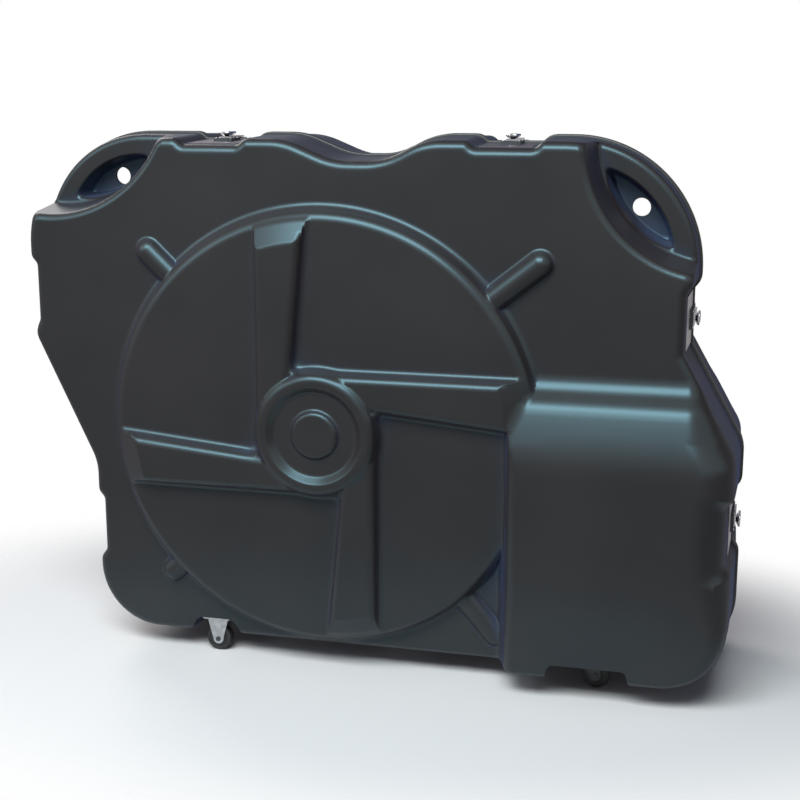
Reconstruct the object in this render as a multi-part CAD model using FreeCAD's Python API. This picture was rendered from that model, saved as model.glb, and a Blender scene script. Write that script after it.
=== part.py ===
import FreeCAD, Part
import os
from math import acos, cos, hypot, radians, sin, sqrt, tan
from FreeCAD import Vector

# Bike travel case, millimetres. X runs along the case, Y through it with the
# front at minus Y, Z up with the floor at zero. The parting plane is Y = 0.

# Wheel relief, hub and the four arms on the face; the case is set out round them
disc_r = 346.0
disc_draft = 10.0
disc_h = 26.0
arm_h = 22.0
arm_out = 97.0
arm_in = 46.0
arm_tip_in = 14.0
arm_gap = 4.0
arm_ramp = 36.0
arm_draft = 4.0
hub_r = 102.0
hub_h = 28.0
hub_draft = 9.0
dish_lip = 25.0
dish_draft = 11.0
dish_h = 12.0
button_r = 32.0
button_draft = 8.0
button_drop = 3.0

# Margins between the relief and the outline
case_bottom = 32.0
floor_margin = 14.0
top_margin = 102.0
hub_shift = 70.0
waist_margin = 49.0
waist_in = 100.0
shoulder_in = 74.0

# Outline corners; valley and slopes take shares of the straights that they lie on
top_left_r = 174.0
top_right_r = 194.0
bottom_left_r = 105.0
bottom_right_r = 103.0
valley_at = (0.193, 0.368, 0.589, 0.813)
valley_depth_share = 0.092
valley_r_share = 0.345
right_slope_share = 0.292
slope_r_share = 0.287
waist_share = 0.191
waist_r_share = 0.305
hip_r_share = 0.115
step_outer_r = 20.0
step_inner_r = 10.0

# Shell walls
shell_depth = 118.0
draft_inset = 3.0
wall = 3.0
edge_round = 12.0
overlap = 10.0
part_gap = 0.5
over = 1.0
mid_bend = radians(45.0)
quarter_turn = 90.0

# Latch recesses: floor length, end ramp and depth, then their gaps from the corners
latch_flat = 88.0
latch_ramp = 11.0
latch_sink = 10.0
hip_ramp = 23.0
top_right_gap = 34.0
top_left_gap = 86.0
high_right_gap = 15.0
low_right_gap = 78.0
high_left_gap = 21.0
low_left_gap = 14.0

# Round ribs outside the relief: angle from X, reach of the end past the relief
rib_r = 18.0
rib_root_in = 16.0
ribs = ((38.5, 84.0), (136.4, 45.0), (224.5, 14.0), (-48.5, 72.0))

# Crank bulge: lap over the relief, top above the hub, then drops and rises of its slope
bulge_h = 60.0
bulge_lap = 62.0
bulge_left_run = 20.0
bulge_above = 92.0
bulge_foot_drop = 13.0
bulge_foot_h = 8.0
bulge_step_drop = 34.0
bulge_step_h = 31.0
bulge_slope_drop = 96.0
bulge_slope_h = 54.0
bulge_flat_drop = 142.0
bulge_right_r = 62.0
bulge_right_in = 13.0

# Carry handles: recess circle at the face, grip level and web of the finger dish
grip_h = 44.0
recess_run = 17.0
dish_run = 6.0
grip_width = 37.0
leaf_width = 38.4
leaf_in = 46.0
leaf_ledge = 2.0
web_face = 5.0
left_recess = (117.4, 213.0)
right_recess = (41.2, 195.0)
strap_hole_r = 14.0

# Parting frame and seal
rim_h = 8.0
rim_proud = 4.0
rim_width = 8.0
groove_in = 0.5
groove_out = 4.5
groove_h = 2.5
seal_gap = 0.3

# Twist latch
plate_half = 40.0
plate_t = 1.5
plate_front = 98.0
plate_back = 9.0
base_half = 15.0
base_front = 54.0
base_back = 14.0
base_top = 5.0
pivot_y = 30.0
pivot_r = 3.0
pivot_bore = 4.0
run_gap = 0.05
slide_gap = 0.2
hook_half = 9.0
hook_t = 2.2
hook_front = 44.0
hook_back = 19.0
hook_tip = 3.5
hook_clear = 0.3
hook_travel = 5.0
slot_gap = 0.4
wing_hub_r = 8.0
wing_t = 2.5
wing_len = 17.0
wing_root = 5.0
wing_half = 9.0
wing_lift = 4.5
strike_back = 44.0
strike_half = 15.0
strike_top = 2.5
lip_near = 9.5
lip_far = 14.0
lip_top = 4.9
rivet_r = 2.2
rivet_top_r = 1.4
rivet_h = 1.0
base_rivet_x = 12.0
base_rivet_y = (20.0, 48.0)
strike_rivet_y = 36.0

# Bottom hinges
hinge_count = 3
hinge_pitch_share = 0.31
hinge_half = 40.0
hinge_drop = 10.0
knuckle_r = 5.0
knuckles = 5
knuckle_gap = 0.2
hinge_pin_r = 2.5
pin_head_r = 4.0
pin_head_t = 2.0
leaf_front = 52.0
leaf_back = 9.0
leaf_t = 3.0
foot_half = 2.5
leg_t = 3.5
leaf_rivet_x = 28.0
leaf_rivet_y = (22.0, 44.0)
leaf_rivet_r = 3.2
leaf_rivet_top_r = 2.2
leaf_rivet_h = 1.3

# Casters and the notches they sit in
notch_rise = 28.0
left_notch_half = 31.0
left_notch_run = 32.0
right_notch_half = 58.0
right_notch_run = 14.0
right_notch_shift = 7.0
notch_back = 52.0
caster_y = 96.0
caster_left_gap = 101.0
caster_right_gap = 112.0
plate_x = 23.0
plate_y = 20.0
caster_plate_t = 2.5
wheel_r = 21.0
wheel_half = 9.0
wheel_hub_r = 9.0
wheel_groove = 1.2
wheel_rim_r = 16.0
axle_r = 3.0
axle_head_r = 4.0
axle_head_t = 2.0
side_gap = 0.6
cheek_t = 2.5
cheek_top = 18.0
cheek_r = 8.5
race_r = 15.0
race_h = 4.0
race_gap = 0.3
king_r = 4.0
king_len = 5.5
trail = 14.0
crown_lip = 1.0
screw_x = 18.0
screw_y = 16.0
screw_r = 3.0
screw_top_r = 2.0
screw_h = 1.6

# Foam liners and the post that keeps the halves apart
foam_t = 10.0
foam_r = 30.0
foam_in = 30.0
foam_low = 46.0
foam_top = 60.0
foam_slope = 12.0
foam_corner = 40.0
post_drop = 200.0
post_r = 16.0
post_bore_r = 13.5
cup_r = 32.0
cup_t = 6.0
post_gap = 1.0

# Places that follow from the sizes above
hub_x = -hub_shift
hub_z = case_bottom + floor_margin + disc_r
case_top = hub_z + disc_r + top_margin
half_length = hub_shift + disc_r + waist_margin + waist_in
waist_x = waist_in - half_length
shoulder_x = half_length - shoulder_in
left_corner_x = top_left_r - half_length
right_corner_x = shoulder_x - top_right_r
disc_top_r = disc_r - disc_draft
arm_len = disc_top_r - arm_gap
arm_tip_len = sqrt(arm_tip_in**2 + arm_len**2 - arm_out**2)
dish_r = hub_r - dish_lip
rib_root = disc_r - rib_root_in
half_flat = latch_flat / 2
latch_far = half_flat + latch_ramp
top_latch_x = (right_corner_x - top_right_gap - latch_far, left_corner_x + top_left_gap + latch_far)
high_right_z = case_top - top_right_r - high_right_gap - latch_far
low_right_z = case_bottom + bottom_right_r + low_right_gap + latch_far
high_left_z = case_top - top_left_r - high_left_gap - latch_far
low_left_z = case_bottom + bottom_left_r + low_left_gap + latch_far
right_latch_z = (low_right_z, high_right_z)
left_latch_z = (high_left_z, low_left_z)
valley_start = top_latch_x[0] - latch_far
valley_span = valley_start - top_latch_x[1] - latch_far
right_rise = high_right_z - half_flat - low_right_z - latch_far
right_slope_z = low_right_z + latch_far + right_slope_share * right_rise
hip_z = high_left_z - half_flat - hip_ramp
left_rise = hip_z - low_left_z - latch_far
waist_z = low_left_z + latch_far + waist_share * left_rise
bulge_left_x = hub_x + disc_r - bulge_lap
bulge_top_z = hub_z + bulge_above
bulge_right_x = half_length - bulge_right_in
notch_z = case_bottom + notch_rise
caster_left_x = waist_x + bottom_left_r + caster_left_gap
caster_right_x = half_length - bottom_right_r - caster_right_gap
hinge_mid = (caster_left_x + caster_right_x) / 2
hinge_pitch = (caster_right_x - caster_left_x) * hinge_pitch_share
hinge_x = [hinge_mid + hinge_pitch * (n - (hinge_count - 1) / 2) for n in range(hinge_count)]
hinge_axis_z = case_bottom - hinge_drop
post_x = (top_latch_x[0] + top_latch_x[1]) / 2
post_z = case_top - post_drop
face_y = -shell_depth
depth_y = Vector(0, -1, 0)
slope_per_mm = draft_inset / (shell_depth - rim_h)


def inset_corners(corners, inset):
    """Moves every straight of an outline inwards; outer rounds shrink, hollow ones grow."""
    moved = []
    for i in range(len(corners)):
        x0, z0 = corners[i - 1][:2]
        x1, z1, r1 = corners[i]
        x2, z2 = corners[(i + 1) % len(corners)][:2]
        a = hypot(x1 - x0, z1 - z0)
        b = hypot(x2 - x1, z2 - z1)
        ux, uz = (x1 - x0) / a, (z1 - z0) / a
        vx, vz = (x2 - x1) / b, (z2 - z1) / b
        k = inset / (1 + ux * vx + uz * vz)
        hollow = ux * vz - uz * vx < 0
        moved.append((x1 - k * (uz + vz), z1 + k * (ux + vx), r1 + inset if hollow else r1 - inset))
    return moved


def outline_edges(corners, y):
    """Lines and arcs of a rounded outline in the plane at y, as (line, arc) in turn."""
    ends = []
    for i in range(len(corners)):
        p = Vector(corners[i - 1][0], y, corners[i - 1][1])
        q = Vector(corners[i][0], y, corners[i][1])
        s = Vector(corners[(i + 1) % len(corners)][0], y, corners[(i + 1) % len(corners)][1])
        u = (q - p).normalize()
        v = (s - q).normalize()
        half = acos(max(-1.0, min(1.0, u.dot(v)))) / 2
        r = corners[i][2]
        into = (v - u).normalize()
        ends.append((q - u * (r * tan(half)), q + into * (r / cos(half) - r), q + v * (r * tan(half))))
    edges = []
    for i in range(len(ends)):
        edges.append(Part.LineSegment(ends[i - 1][2], ends[i][0]).toShape())
        edges.append(Part.Arc(*ends[i]).toShape())
    return edges


def lofted(sections):
    """Solid through rounded outlines that have the same corners, each given with its depth."""
    rings = [outline_edges(corners, y) for corners, y in sections]
    faces = [Part.Face(Part.Wire(rings[0])), Part.Face(Part.Wire(rings[-1]))]
    for low, high in zip(rings, rings[1:]):
        for i in range(len(low)):
            a = low[i]
            b = high[i]
            if i % 2:
                faces.append(Part.makeLoft([Part.Wire(a), Part.Wire(b)], False, True).Faces[0])
            else:
                side = [a.Vertexes[0].Point, a.Vertexes[1].Point, b.Vertexes[1].Point, b.Vertexes[0].Point]
                faces.append(Part.Face(Part.makePolygon(side + side[:1])))
    shell = Part.makeShell(faces)
    shell.sewShape()
    solid = Part.Solid(shell)
    if solid.Volume < 0:
        solid.reverse()
    return solid


def flat_prism(points, move):
    """Straight prism over a polygon."""
    return Part.Face(Part.makePolygon(points + points[:1])).extrude(move)


def fused(shapes):
    first = shapes[0]
    return first.multiFuse(shapes[1:]).removeSplitter()


def mirrored(shape):
    return shape.mirror(Vector(0, 0, 0), Vector(0, 1, 0))


def save(name, shape):
    os.makedirs("parts", exist_ok=True)
    shape.exportStep("parts/" + name + ".step")


def recess_steps(centre, side):
    """The four corners of one latch recess, in the order the outline is walked."""
    along = [(-latch_far, 0.0, step_outer_r), (-half_flat, latch_sink, step_inner_r)]
    along += [(half_flat, latch_sink, step_inner_r), (latch_far, 0.0, step_outer_r)]
    if side == "top":
        return [(centre - t, case_top - d, r) for t, d, r in along]
    if side == "right":
        return [(half_length - d, centre + t, r) for t, d, r in along]
    return [(waist_x + d, centre - t, r) for t, d, r in along]


outline = [(waist_x, case_bottom, bottom_left_r), (half_length, case_bottom, bottom_right_r)]
outline += recess_steps(low_right_z, "right")
outline += [(half_length, right_slope_z, slope_r_share * right_rise)]
outline += [(shoulder_x - latch_sink, high_right_z - half_flat, step_inner_r)]
outline += [(shoulder_x - latch_sink, high_right_z + half_flat, step_inner_r)]
outline += [(shoulder_x, high_right_z + latch_far, step_outer_r)]
outline += [(shoulder_x, case_top, top_right_r)]
outline += recess_steps(top_latch_x[0], "top")
for share, sunk in zip(valley_at, (0, 1, 1, 0)):
    valley_z = case_top - sunk * valley_depth_share * valley_span
    outline += [(valley_start - share * valley_span, valley_z, valley_r_share * valley_span)]
outline += recess_steps(top_latch_x[1], "top")
outline += [(-half_length, case_top, top_left_r)]
outline += [(-half_length, high_left_z + latch_far, step_outer_r)]
outline += [(-half_length + latch_sink, high_left_z + half_flat, step_inner_r)]
outline += [(-half_length + latch_sink, high_left_z - half_flat, step_inner_r)]
outline += [(-half_length, hip_z, hip_r_share * left_rise), (waist_x, waist_z, waist_r_share * left_rise)]
outline += recess_steps(low_left_z, "left")


def drafted(inset, y_from, y_to, bevel=0.0):
    """The shell outline pulled in evenly, leaning with the wall draft; bevel turns in the front edge."""
    levels = [(y_from, 0.0), (y_to + bevel, 0.0)]
    if bevel:
        levels.append((y_to + bevel * (1 - sin(mid_bend)), bevel * (1 - cos(mid_bend))))
        levels.append((y_to, bevel))
    sections = []
    for y, turn_in in levels:
        lean = slope_per_mm * (-y - rim_h)
        sections.append((inset_corners(outline, inset + lean + turn_in), y))
    return lofted(sections)


def round_post(x, z, r_low, y_low, r_high, y_high):
    """Cylinder or cone along Y between two depths."""
    if r_low == r_high:
        return Part.makeCylinder(r_low, y_low - y_high, Vector(x, y_low, z), depth_y)
    return Part.makeCone(r_low, r_high, y_low - y_high, Vector(x, y_low, z), depth_y)


def arms_and_hub(inset):
    """Pinwheel arms with the hub ring, its dish and the middle button; inset makes the inside."""
    y_low = face_y - disc_h + overlap
    y_top = face_y - disc_h - arm_h + inset
    y_base = face_y - disc_h + inset
    y_hub = y_base - hub_h
    base = [(-arm_out + inset, 0.0), (-arm_in - inset, 0.0)]
    base += [(-arm_tip_in - inset, arm_len - inset), (-arm_out + inset, arm_tip_len - inset)]
    top = [(base[0][0] + arm_draft, 0.0), (base[1][0] - arm_draft, 0.0)]
    top += [(base[2][0] - arm_draft, base[2][1] - arm_ramp), (base[3][0] + arm_draft, base[3][1] - arm_ramp)]
    low = [Vector(hub_x + s, y_base, hub_z + r) for s, r in base]
    high = [Vector(hub_x + s, y_top, hub_z + r) for s, r in top]
    arm = Part.makeLoft([Part.makePolygon(low + low[:1]), Part.makePolygon(high + high[:1])], True, True)
    root = flat_prism(low, Vector(0, y_low - y_base, 0))
    pieces = []
    for quarter in range(4):
        for piece in (arm, root):
            turned = piece.copy()
            turned.rotate(Vector(hub_x, 0, hub_z), Vector(0, 1, 0), quarter_turn * quarter)
            pieces.append(turned)
    pieces.append(round_post(hub_x, hub_z, hub_r - inset, y_low, hub_r - inset, y_base))
    pieces.append(round_post(hub_x, hub_z, hub_r - inset, y_base, hub_r - hub_draft - inset, y_hub))
    body = fused(pieces)
    y_floor = y_hub + dish_h
    dish = round_post(hub_x, hub_z, dish_r - dish_draft + inset, y_floor, dish_r + inset, y_hub - over)
    button_foot = button_r + button_draft - inset
    button = round_post(hub_x, hub_z, button_foot, y_low, button_r - inset, y_hub + button_drop)
    return body.cut(dish).fuse(button).removeSplitter()


def rib(angle, reach, inset):
    """One round rib lying on the face with a ball end."""
    r = rib_r - inset
    way = Vector(cos(radians(angle)), 0, sin(radians(angle)))
    hub = Vector(hub_x, face_y, hub_z)
    root = hub + way * rib_root
    end = hub + way * reach
    side = Vector(0, r, 0)
    ball = Part.Arc(
        end + side,
        end + way * (r * sin(mid_bend)) + side * cos(mid_bend),
        end + way * r,
    ).toShape()
    plan = [end + way * r, root, root + side, end + side]
    sides = [Part.LineSegment(plan[i], plan[i + 1]).toShape() for i in range(len(plan) - 1)]
    return Part.Face(Part.Wire([ball] + sides)).revolve(root, way, 4 * quarter_turn)


def bulge(inset):
    """Crank bulge: the outline carried on forwards, cut to its left wall, stepped top and round right."""
    y_low = face_y + overlap
    y_front = face_y - bulge_h + inset
    tall = drafted(inset, y_low, y_front)
    lean = bulge_left_run / bulge_h
    left_low = bulge_left_x - lean * overlap + inset
    left_high = bulge_left_x + lean * (bulge_h - inset) + inset
    right = bulge_right_x - inset
    r = bulge_right_r - inset
    corner = Vector(right - r, y_front + r, 0)
    bow = Part.Arc(
        Vector(right - r, y_front, 0),
        corner + Vector(r * sin(mid_bend), -r * cos(mid_bend), 0),
        Vector(right, y_front + r, 0),
    ).toShape()
    plan = [Vector(right, y_front + r, 0), Vector(half_length, y_low, 0), Vector(left_low, y_low, 0)]
    plan += [Vector(left_high, y_front, 0), Vector(right - r, y_front, 0)]
    sides = [Part.LineSegment(plan[i], plan[i + 1]).toShape() for i in range(len(plan) - 1)]
    block = Part.Face(Part.Wire([bow] + sides)).extrude(Vector(0, 0, case_top))
    steps = [(overlap, bulge_top_z + overlap), (0.0, bulge_top_z)]
    steps += [(-bulge_foot_h, bulge_top_z - bulge_foot_drop)]
    steps += [(-bulge_step_h, bulge_top_z - bulge_step_drop)]
    steps += [(-bulge_slope_h, bulge_top_z - bulge_slope_drop)]
    steps += [(-bulge_h, bulge_top_z - bulge_flat_drop), (-bulge_h, 0.0), (overlap, 0.0)]
    side = [Vector(0, face_y + y + (inset if y < overlap else 0), z - inset) for y, z in steps]
    return tall.common(block).common(flat_prism(side, Vector(half_length, 0, 0)))


def grip(recess, leaf, inset):
    """Handle corner: the cut down to the grip, the finger dish and the wall column round it."""
    bx, bz, br = recess
    outer_at, inner_at, leaf_r = leaf
    run = recess_run / (shell_depth - web_face)
    y_over = face_y - overlap - bulge_h
    y_grip = -grip_h + inset
    y_web = -web_face

    def side_r(y):
        return br + inset - run * (y - face_y)

    cut = round_post(bx, bz, side_r(y_grip), y_grip, side_r(y_over), y_over)
    rise = dish_run / (grip_h - web_face)
    y_low = -part_gap if inset else y_web
    y_high = -grip_h - overlap
    low_r = leaf_r + inset
    high_r = low_r + rise * (y_low - y_high)
    outer = round_post(*outer_at, low_r, y_low, high_r, y_high)
    inner = round_post(*inner_at, low_r, y_low, high_r, y_high)
    return cut, outer.common(inner)


def notch(x, half, run, inset):
    """Space for one caster in the bottom edge, its sides leaning outwards by run down to the floor."""
    top = notch_z + inset
    pts = [(x - half - run - inset, 0.0), (x + half + run + inset, 0.0)]
    pts += [(x + half + inset, top), (x - half - inset, top)]
    y_far = face_y - bulge_h - overlap
    return flat_prism([Vector(px, y_far, pz) for px, pz in pts], Vector(0, -y_far - notch_back + inset, 0))


def handle(centre_x, corner_r, turn, recess_r):
    """One corner's recess circle, the two circles that bound its finger dish, and its strap hole."""
    way = radians(turn)
    near = corner_r - grip_width - leaf_width
    leaf_r = corner_r - leaf_in - dish_run

    def along(distance):
        return centre_x + distance * cos(way), case_top - corner_r + distance * sin(way)

    recess = (*along(near + recess_r - recess_run), recess_r)
    leaf = (along(near + leaf_width - leaf_r), along(near + leaf_ledge + leaf_r), leaf_r)
    return recess, leaf, along(near + leaf_width / 2)


handles = [
    handle(left_corner_x, top_left_r, *left_recess),
    handle(right_corner_x, top_right_r, *right_recess),
]


def forms(inset):
    """Everything raised on the face; inset gives the hollow behind it."""
    r = disc_r - inset
    y_top = face_y - disc_h + inset
    disc = round_post(hub_x, hub_z, r, face_y + overlap, r, face_y + inset)
    cone = round_post(hub_x, hub_z, r, face_y + inset, disc_top_r - inset, y_top)
    pieces = [disc, cone, arms_and_hub(inset), bulge(inset)]
    pieces += [rib(angle, disc_r + past, inset) for angle, past in ribs]
    return pieces


# Front shell: rounded body and raised forms, less the hollow behind them
body = drafted(0.0, -rim_h, face_y, edge_round)
hollow = drafted(wall, 0.0, face_y + wall, edge_round - wall)
outside = fused([body] + forms(0.0))
inside = fused([hollow] + forms(wall))
holes = []
for recess, leaf, hole in handles:
    cut, dish = grip(recess, leaf, 0.0)
    keep_cut, column = grip(recess, leaf, wall)
    outside = outside.fuse(column).cut(cut).cut(dish)
    inside = inside.cut(keep_cut).cut(column)
    holes.append(Part.makeCylinder(strap_hole_r, grip_h, Vector(hole[0], 0, hole[1]), depth_y))
left_notch = (caster_left_x, left_notch_half, left_notch_run)
right_notch = (caster_right_x + right_notch_shift, right_notch_half, right_notch_run)
for place in (left_notch, right_notch):
    outside = outside.cut(notch(*place, 0.0))
    inside = inside.cut(notch(*place, wall))
front_shell = outside.cut(inside)
for hole in holes:
    front_shell = front_shell.cut(hole)
front_shell = front_shell.removeSplitter()
save("front_shell", front_shell)
save("rear_shell", mirrored(front_shell))


# Parting frames and the seal between them
def band(inset_out, inset_in, y_from, y_to):
    """Straight ring along the parting line between two insets."""
    outer = inset_corners(outline, inset_out)
    inner = inset_corners(outline, inset_in)
    return lofted([(outer, y_from), (outer, y_to)]).cut(lofted([(inner, y_from), (inner, y_to)]))


front_rim = band(-rim_proud, rim_width, -part_gap / 2, -rim_h)
save("front_rim", front_rim)
groove_y = -part_gap / 2 - groove_h
rear_rim = mirrored(front_rim.cut(band(groove_in, groove_out, 0.0, groove_y)))
save("rear_rim", rear_rim)
save("rim_seal", mirrored(band(groove_in + seal_gap, groove_out - seal_gap, 0.0, groove_y)))


# Foam liners on both inner faces, and the crush post between them
foam_back = face_y + wall
foam_front = foam_back + foam_t
foam_floor = case_bottom + foam_low
foam_roof = case_top - foam_top
foam_outline = (
    (waist_x + foam_in, foam_floor),
    (half_length - foam_in, foam_floor),
    (half_length - foam_in, right_slope_z + foam_slope),
    (shoulder_x - foam_in, high_right_z - half_flat - foam_corner),
    (shoulder_x - foam_in, case_top - top_right_r - foam_corner),
    (right_corner_x - foam_slope, foam_roof),
    (left_corner_x + foam_in + foam_corner, foam_roof),
    (foam_in - half_length, case_top - top_left_r - foam_corner / 2),
    (foam_in - half_length, hip_z),
    (waist_x + foam_in, waist_z),
)
foam = [(x, z, foam_r) for x, z in foam_outline]
front_foam = lofted([(foam, foam_front), (foam, foam_back)])
save("front_foam", front_foam)
save("rear_foam", mirrored(front_foam))
post_back = -foam_front
post_front = foam_front + post_gap
rear_cup = Part.makeCylinder(cup_r, cup_t, Vector(post_x, post_back, post_z), depth_y)
front_cup = Part.makeCylinder(cup_r, cup_t, Vector(post_x, post_front + cup_t, post_z), depth_y)
save("crush_post_cups", Part.makeCompound([rear_cup, front_cup]))
post_len = post_back - post_front - 2 * cup_t
post_foot = Vector(post_x, post_back - cup_t, post_z)
tube = Part.makeCylinder(post_r, post_len, post_foot, depth_y)
save("crush_post", tube.cut(Part.makeCylinder(post_bore_r, post_len, post_foot, depth_y)))


# Latches, drawn once on a flat at the parting line with Z outwards, then set round the case
def wall_at(y):
    """How far the wall has leaned in at this distance from the parting plane."""
    return -slope_per_mm * (y - rim_h)


def frustum(x, y, z, r_low, r_high, h):
    """Rivet or screw head standing on a surface that faces up."""
    return Part.makeCone(r_low, r_high, h, Vector(x, y, z), Vector(0, 0, 1))


def wedge(half, y_low, y_high, lift, top):
    """Block whose underside follows the leaning wall, raised off it by lift; flat top."""
    pts = [(-y_high, wall_at(y_high) + lift), (-y_low, wall_at(y_low) + lift), (-y_low, top), (-y_high, top)]
    return flat_prism([Vector(-half, y, z) for y, z in pts], Vector(2 * half, 0, 0))


plate_pts = [(-plate_front, wall_at(plate_front)), (-plate_back, wall_at(plate_back))]
plate_pts += [(y, z + plate_t) for y, z in reversed(plate_pts)]
latch_plate = flat_prism([Vector(-plate_half, y, z) for y, z in plate_pts], Vector(2 * plate_half, 0, 0))
bore_foot = Vector(0, -pivot_y, base_top - pivot_bore)
latch_base = wedge(base_half, base_back, base_front, plate_t, base_top)
latch_base = latch_base.cut(Part.makeCylinder(pivot_r + run_gap, pivot_bore + over, bore_foot))
base_rivets = []
for sx in (-base_rivet_x, base_rivet_x):
    for ry in base_rivet_y:
        base_rivets.append(frustum(sx, -ry, base_top, rivet_r, rivet_top_r, rivet_h))

hook_low = base_top + slide_gap
hook_top = hook_low + hook_t
hook_corner = Vector(-hook_half, -hook_front, hook_low)
hook = Part.makeBox(2 * hook_half, hook_front + hook_back, hook_t, hook_corner)
tip_low = lip_top + hook_clear
tip_corner = Vector(-hook_half, hook_back - hook_tip, tip_low)
tip = Part.makeBox(2 * hook_half, hook_tip, hook_top - tip_low, tip_corner)
slot_r = pivot_r + slot_gap
slot_corner = Vector(-slot_r, -pivot_y - hook_travel, hook_low - over)
slot = Part.makeBox(2 * slot_r, hook_travel, base_top + hook_t, slot_corner)
for y in (-pivot_y, -pivot_y - hook_travel):
    slot = slot.fuse(Part.makeCylinder(slot_r, base_top + hook_t, Vector(0, y, hook_low - over)))
hook = hook.fuse(tip).cut(slot).removeSplitter()

wing_low = hook_top + slide_gap
pin_low = base_top - pivot_bore + slide_gap
wing = Part.makeCylinder(wing_hub_r, wing_t, Vector(0, -pivot_y, wing_low))
wing = wing.fuse(Part.makeCylinder(pivot_r, wing_low - pin_low, Vector(0, -pivot_y, pin_low)))
for side in (-1, 1):
    pad = [(wing_root, 0.0), (wing_len, 0.0), (wing_len, wing_t + wing_lift), (wing_root, wing_t)]
    pad_pts = [Vector(-wing_half, side * y - pivot_y, wing_low + z) for y, z in pad]
    wing = wing.fuse(flat_prism(pad_pts, Vector(2 * wing_half, 0, 0)))
wing = wing.removeSplitter()

strike = mirrored(wedge(strike_half, lip_near, strike_back, 0.0, strike_top))
under = [(lip_near, wall_at(lip_near)), (lip_far, wall_at(lip_far)), (lip_far, lip_top), (lip_near, lip_top)]
lip = flat_prism([Vector(-strike_half, y, z) for y, z in under], Vector(2 * strike_half, 0, 0))
strike = strike.fuse(lip).removeSplitter()
strike_rivets = []
for sx in (-base_rivet_x, base_rivet_x):
    strike_rivets.append(frustum(sx, strike_rivet_y, strike_top, rivet_r, rivet_top_r, rivet_h))

latch_places = []
for x in top_latch_x:
    latch_places.append((0.0, Vector(x, 0, case_top - latch_sink)))
for x, z in zip((half_length, shoulder_x), right_latch_z):
    latch_places.append((quarter_turn, Vector(x - latch_sink, 0, z)))
for x, z in zip((-half_length, waist_x), left_latch_z):
    latch_places.append((-quarter_turn, Vector(x + latch_sink, 0, z)))
latch_names = ("top_right", "top_left", "right_low", "right_high", "left_high", "left_low")


def set_at(shape, place):
    """Turns a latch piece about Y to face its side and moves it there."""
    turned = shape.copy()
    turned.rotate(Vector(0, 0, 0), Vector(0, 1, 0), place[0])
    turned.translate(place[1])
    return turned


def set_all(shapes):
    return Part.makeCompound([set_at(shape, place) for place in latch_places for shape in shapes])


save("latch_plates", set_all([latch_plate]))
save("latch_bases", set_all([latch_base]))
save("latch_rivets", set_all(base_rivets))
save("latch_strikes", set_all([strike]))
save("strike_rivets", set_all(strike_rivets))
for name, place in zip(latch_names, latch_places):
    save("latch_wing_" + name, set_at(wing, place))
    save("latch_hook_" + name, set_at(hook, place))


# Bottom hinges: front leaf with three knuckles, rear leaf with two, one pin each
def bottom_at(y):
    return case_bottom - wall_at(y)


def hinge_leaf(x, numbers, sign):
    """Leaf under one bottom wall with a leg down to its knuckles."""
    top_pts = [(-leaf_front, bottom_at(leaf_front)), (-leaf_back, bottom_at(leaf_back))]
    leg_y = -leaf_back - leg_t
    foot_z = hinge_axis_z - foot_half
    pts = top_pts + [(-leaf_back, foot_z), (leg_y, foot_z), (leg_y, bottom_at(-leg_y) - leaf_t)]
    pts += [(-leaf_front, bottom_at(leaf_front) - leaf_t)]
    leaf = flat_prism([Vector(x - hinge_half, y, z) for y, z in pts], Vector(2 * hinge_half, 0, 0))
    pitch = 2 * hinge_half / knuckles
    for n in numbers:
        start = x - hinge_half + n * pitch + knuckle_gap
        length = pitch - 2 * knuckle_gap
        foot = Part.makeBox(length, leaf_back + over, 2 * foot_half, Vector(start, -leaf_back - over, foot_z))
        barrel = Part.makeCylinder(knuckle_r, length, Vector(start, 0, hinge_axis_z), Vector(1, 0, 0))
        leaf = leaf.fuse(foot).fuse(barrel)
    bore_from = Vector(x - hinge_half, 0, hinge_axis_z)
    leaf = leaf.cut(Part.makeCylinder(hinge_pin_r + run_gap, 2 * hinge_half, bore_from, Vector(1, 0, 0)))
    leaf = leaf.removeSplitter()
    return leaf if sign < 0 else mirrored(leaf)


def hinge_pin(x):
    """Pin with a flat head past each end knuckle."""
    reach = hinge_half + knuckle_gap
    pin = Part.makeCylinder(hinge_pin_r, 2 * reach, Vector(x - reach, 0, hinge_axis_z), Vector(1, 0, 0))
    for at in (x - reach - pin_head_t, x + reach):
        head_foot = Vector(at, 0, hinge_axis_z)
        pin = pin.fuse(Part.makeCylinder(pin_head_r, pin_head_t, head_foot, Vector(1, 0, 0)))
    return pin.removeSplitter()


def leaf_rivets(x):
    """Round heads under one front leaf, square to the leaning plate."""
    heads = []
    for sx in (-leaf_rivet_x, leaf_rivet_x):
        for y in leaf_rivet_y:
            foot = Vector(x + sx, -y, bottom_at(y) - leaf_t)
            down = Vector(0, -slope_per_mm, -1)
            heads.append(Part.makeCone(leaf_rivet_r, leaf_rivet_top_r, leaf_rivet_h, foot, down))
    return heads


front_numbers = range(0, knuckles, 2)
rear_numbers = range(1, knuckles, 2)
save("hinge_leaves_front", Part.makeCompound([hinge_leaf(x, front_numbers, -1) for x in hinge_x]))
save("hinge_leaves_rear", Part.makeCompound([hinge_leaf(x, rear_numbers, 1) for x in hinge_x]))
save("hinge_pins", Part.makeCompound([hinge_pin(x) for x in hinge_x]))
front_heads = Part.makeCompound([head for x in hinge_x for head in leaf_rivets(x)])
save("hinge_rivets_front", front_heads)
save("hinge_rivets_rear", mirrored(front_heads))


# Casters: fixed forks on the left, swivel forks with a trailing wheel on the right
axle_z = wheel_r
plate_low = notch_z - caster_plate_t
cheek_y = wheel_half + side_gap


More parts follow.
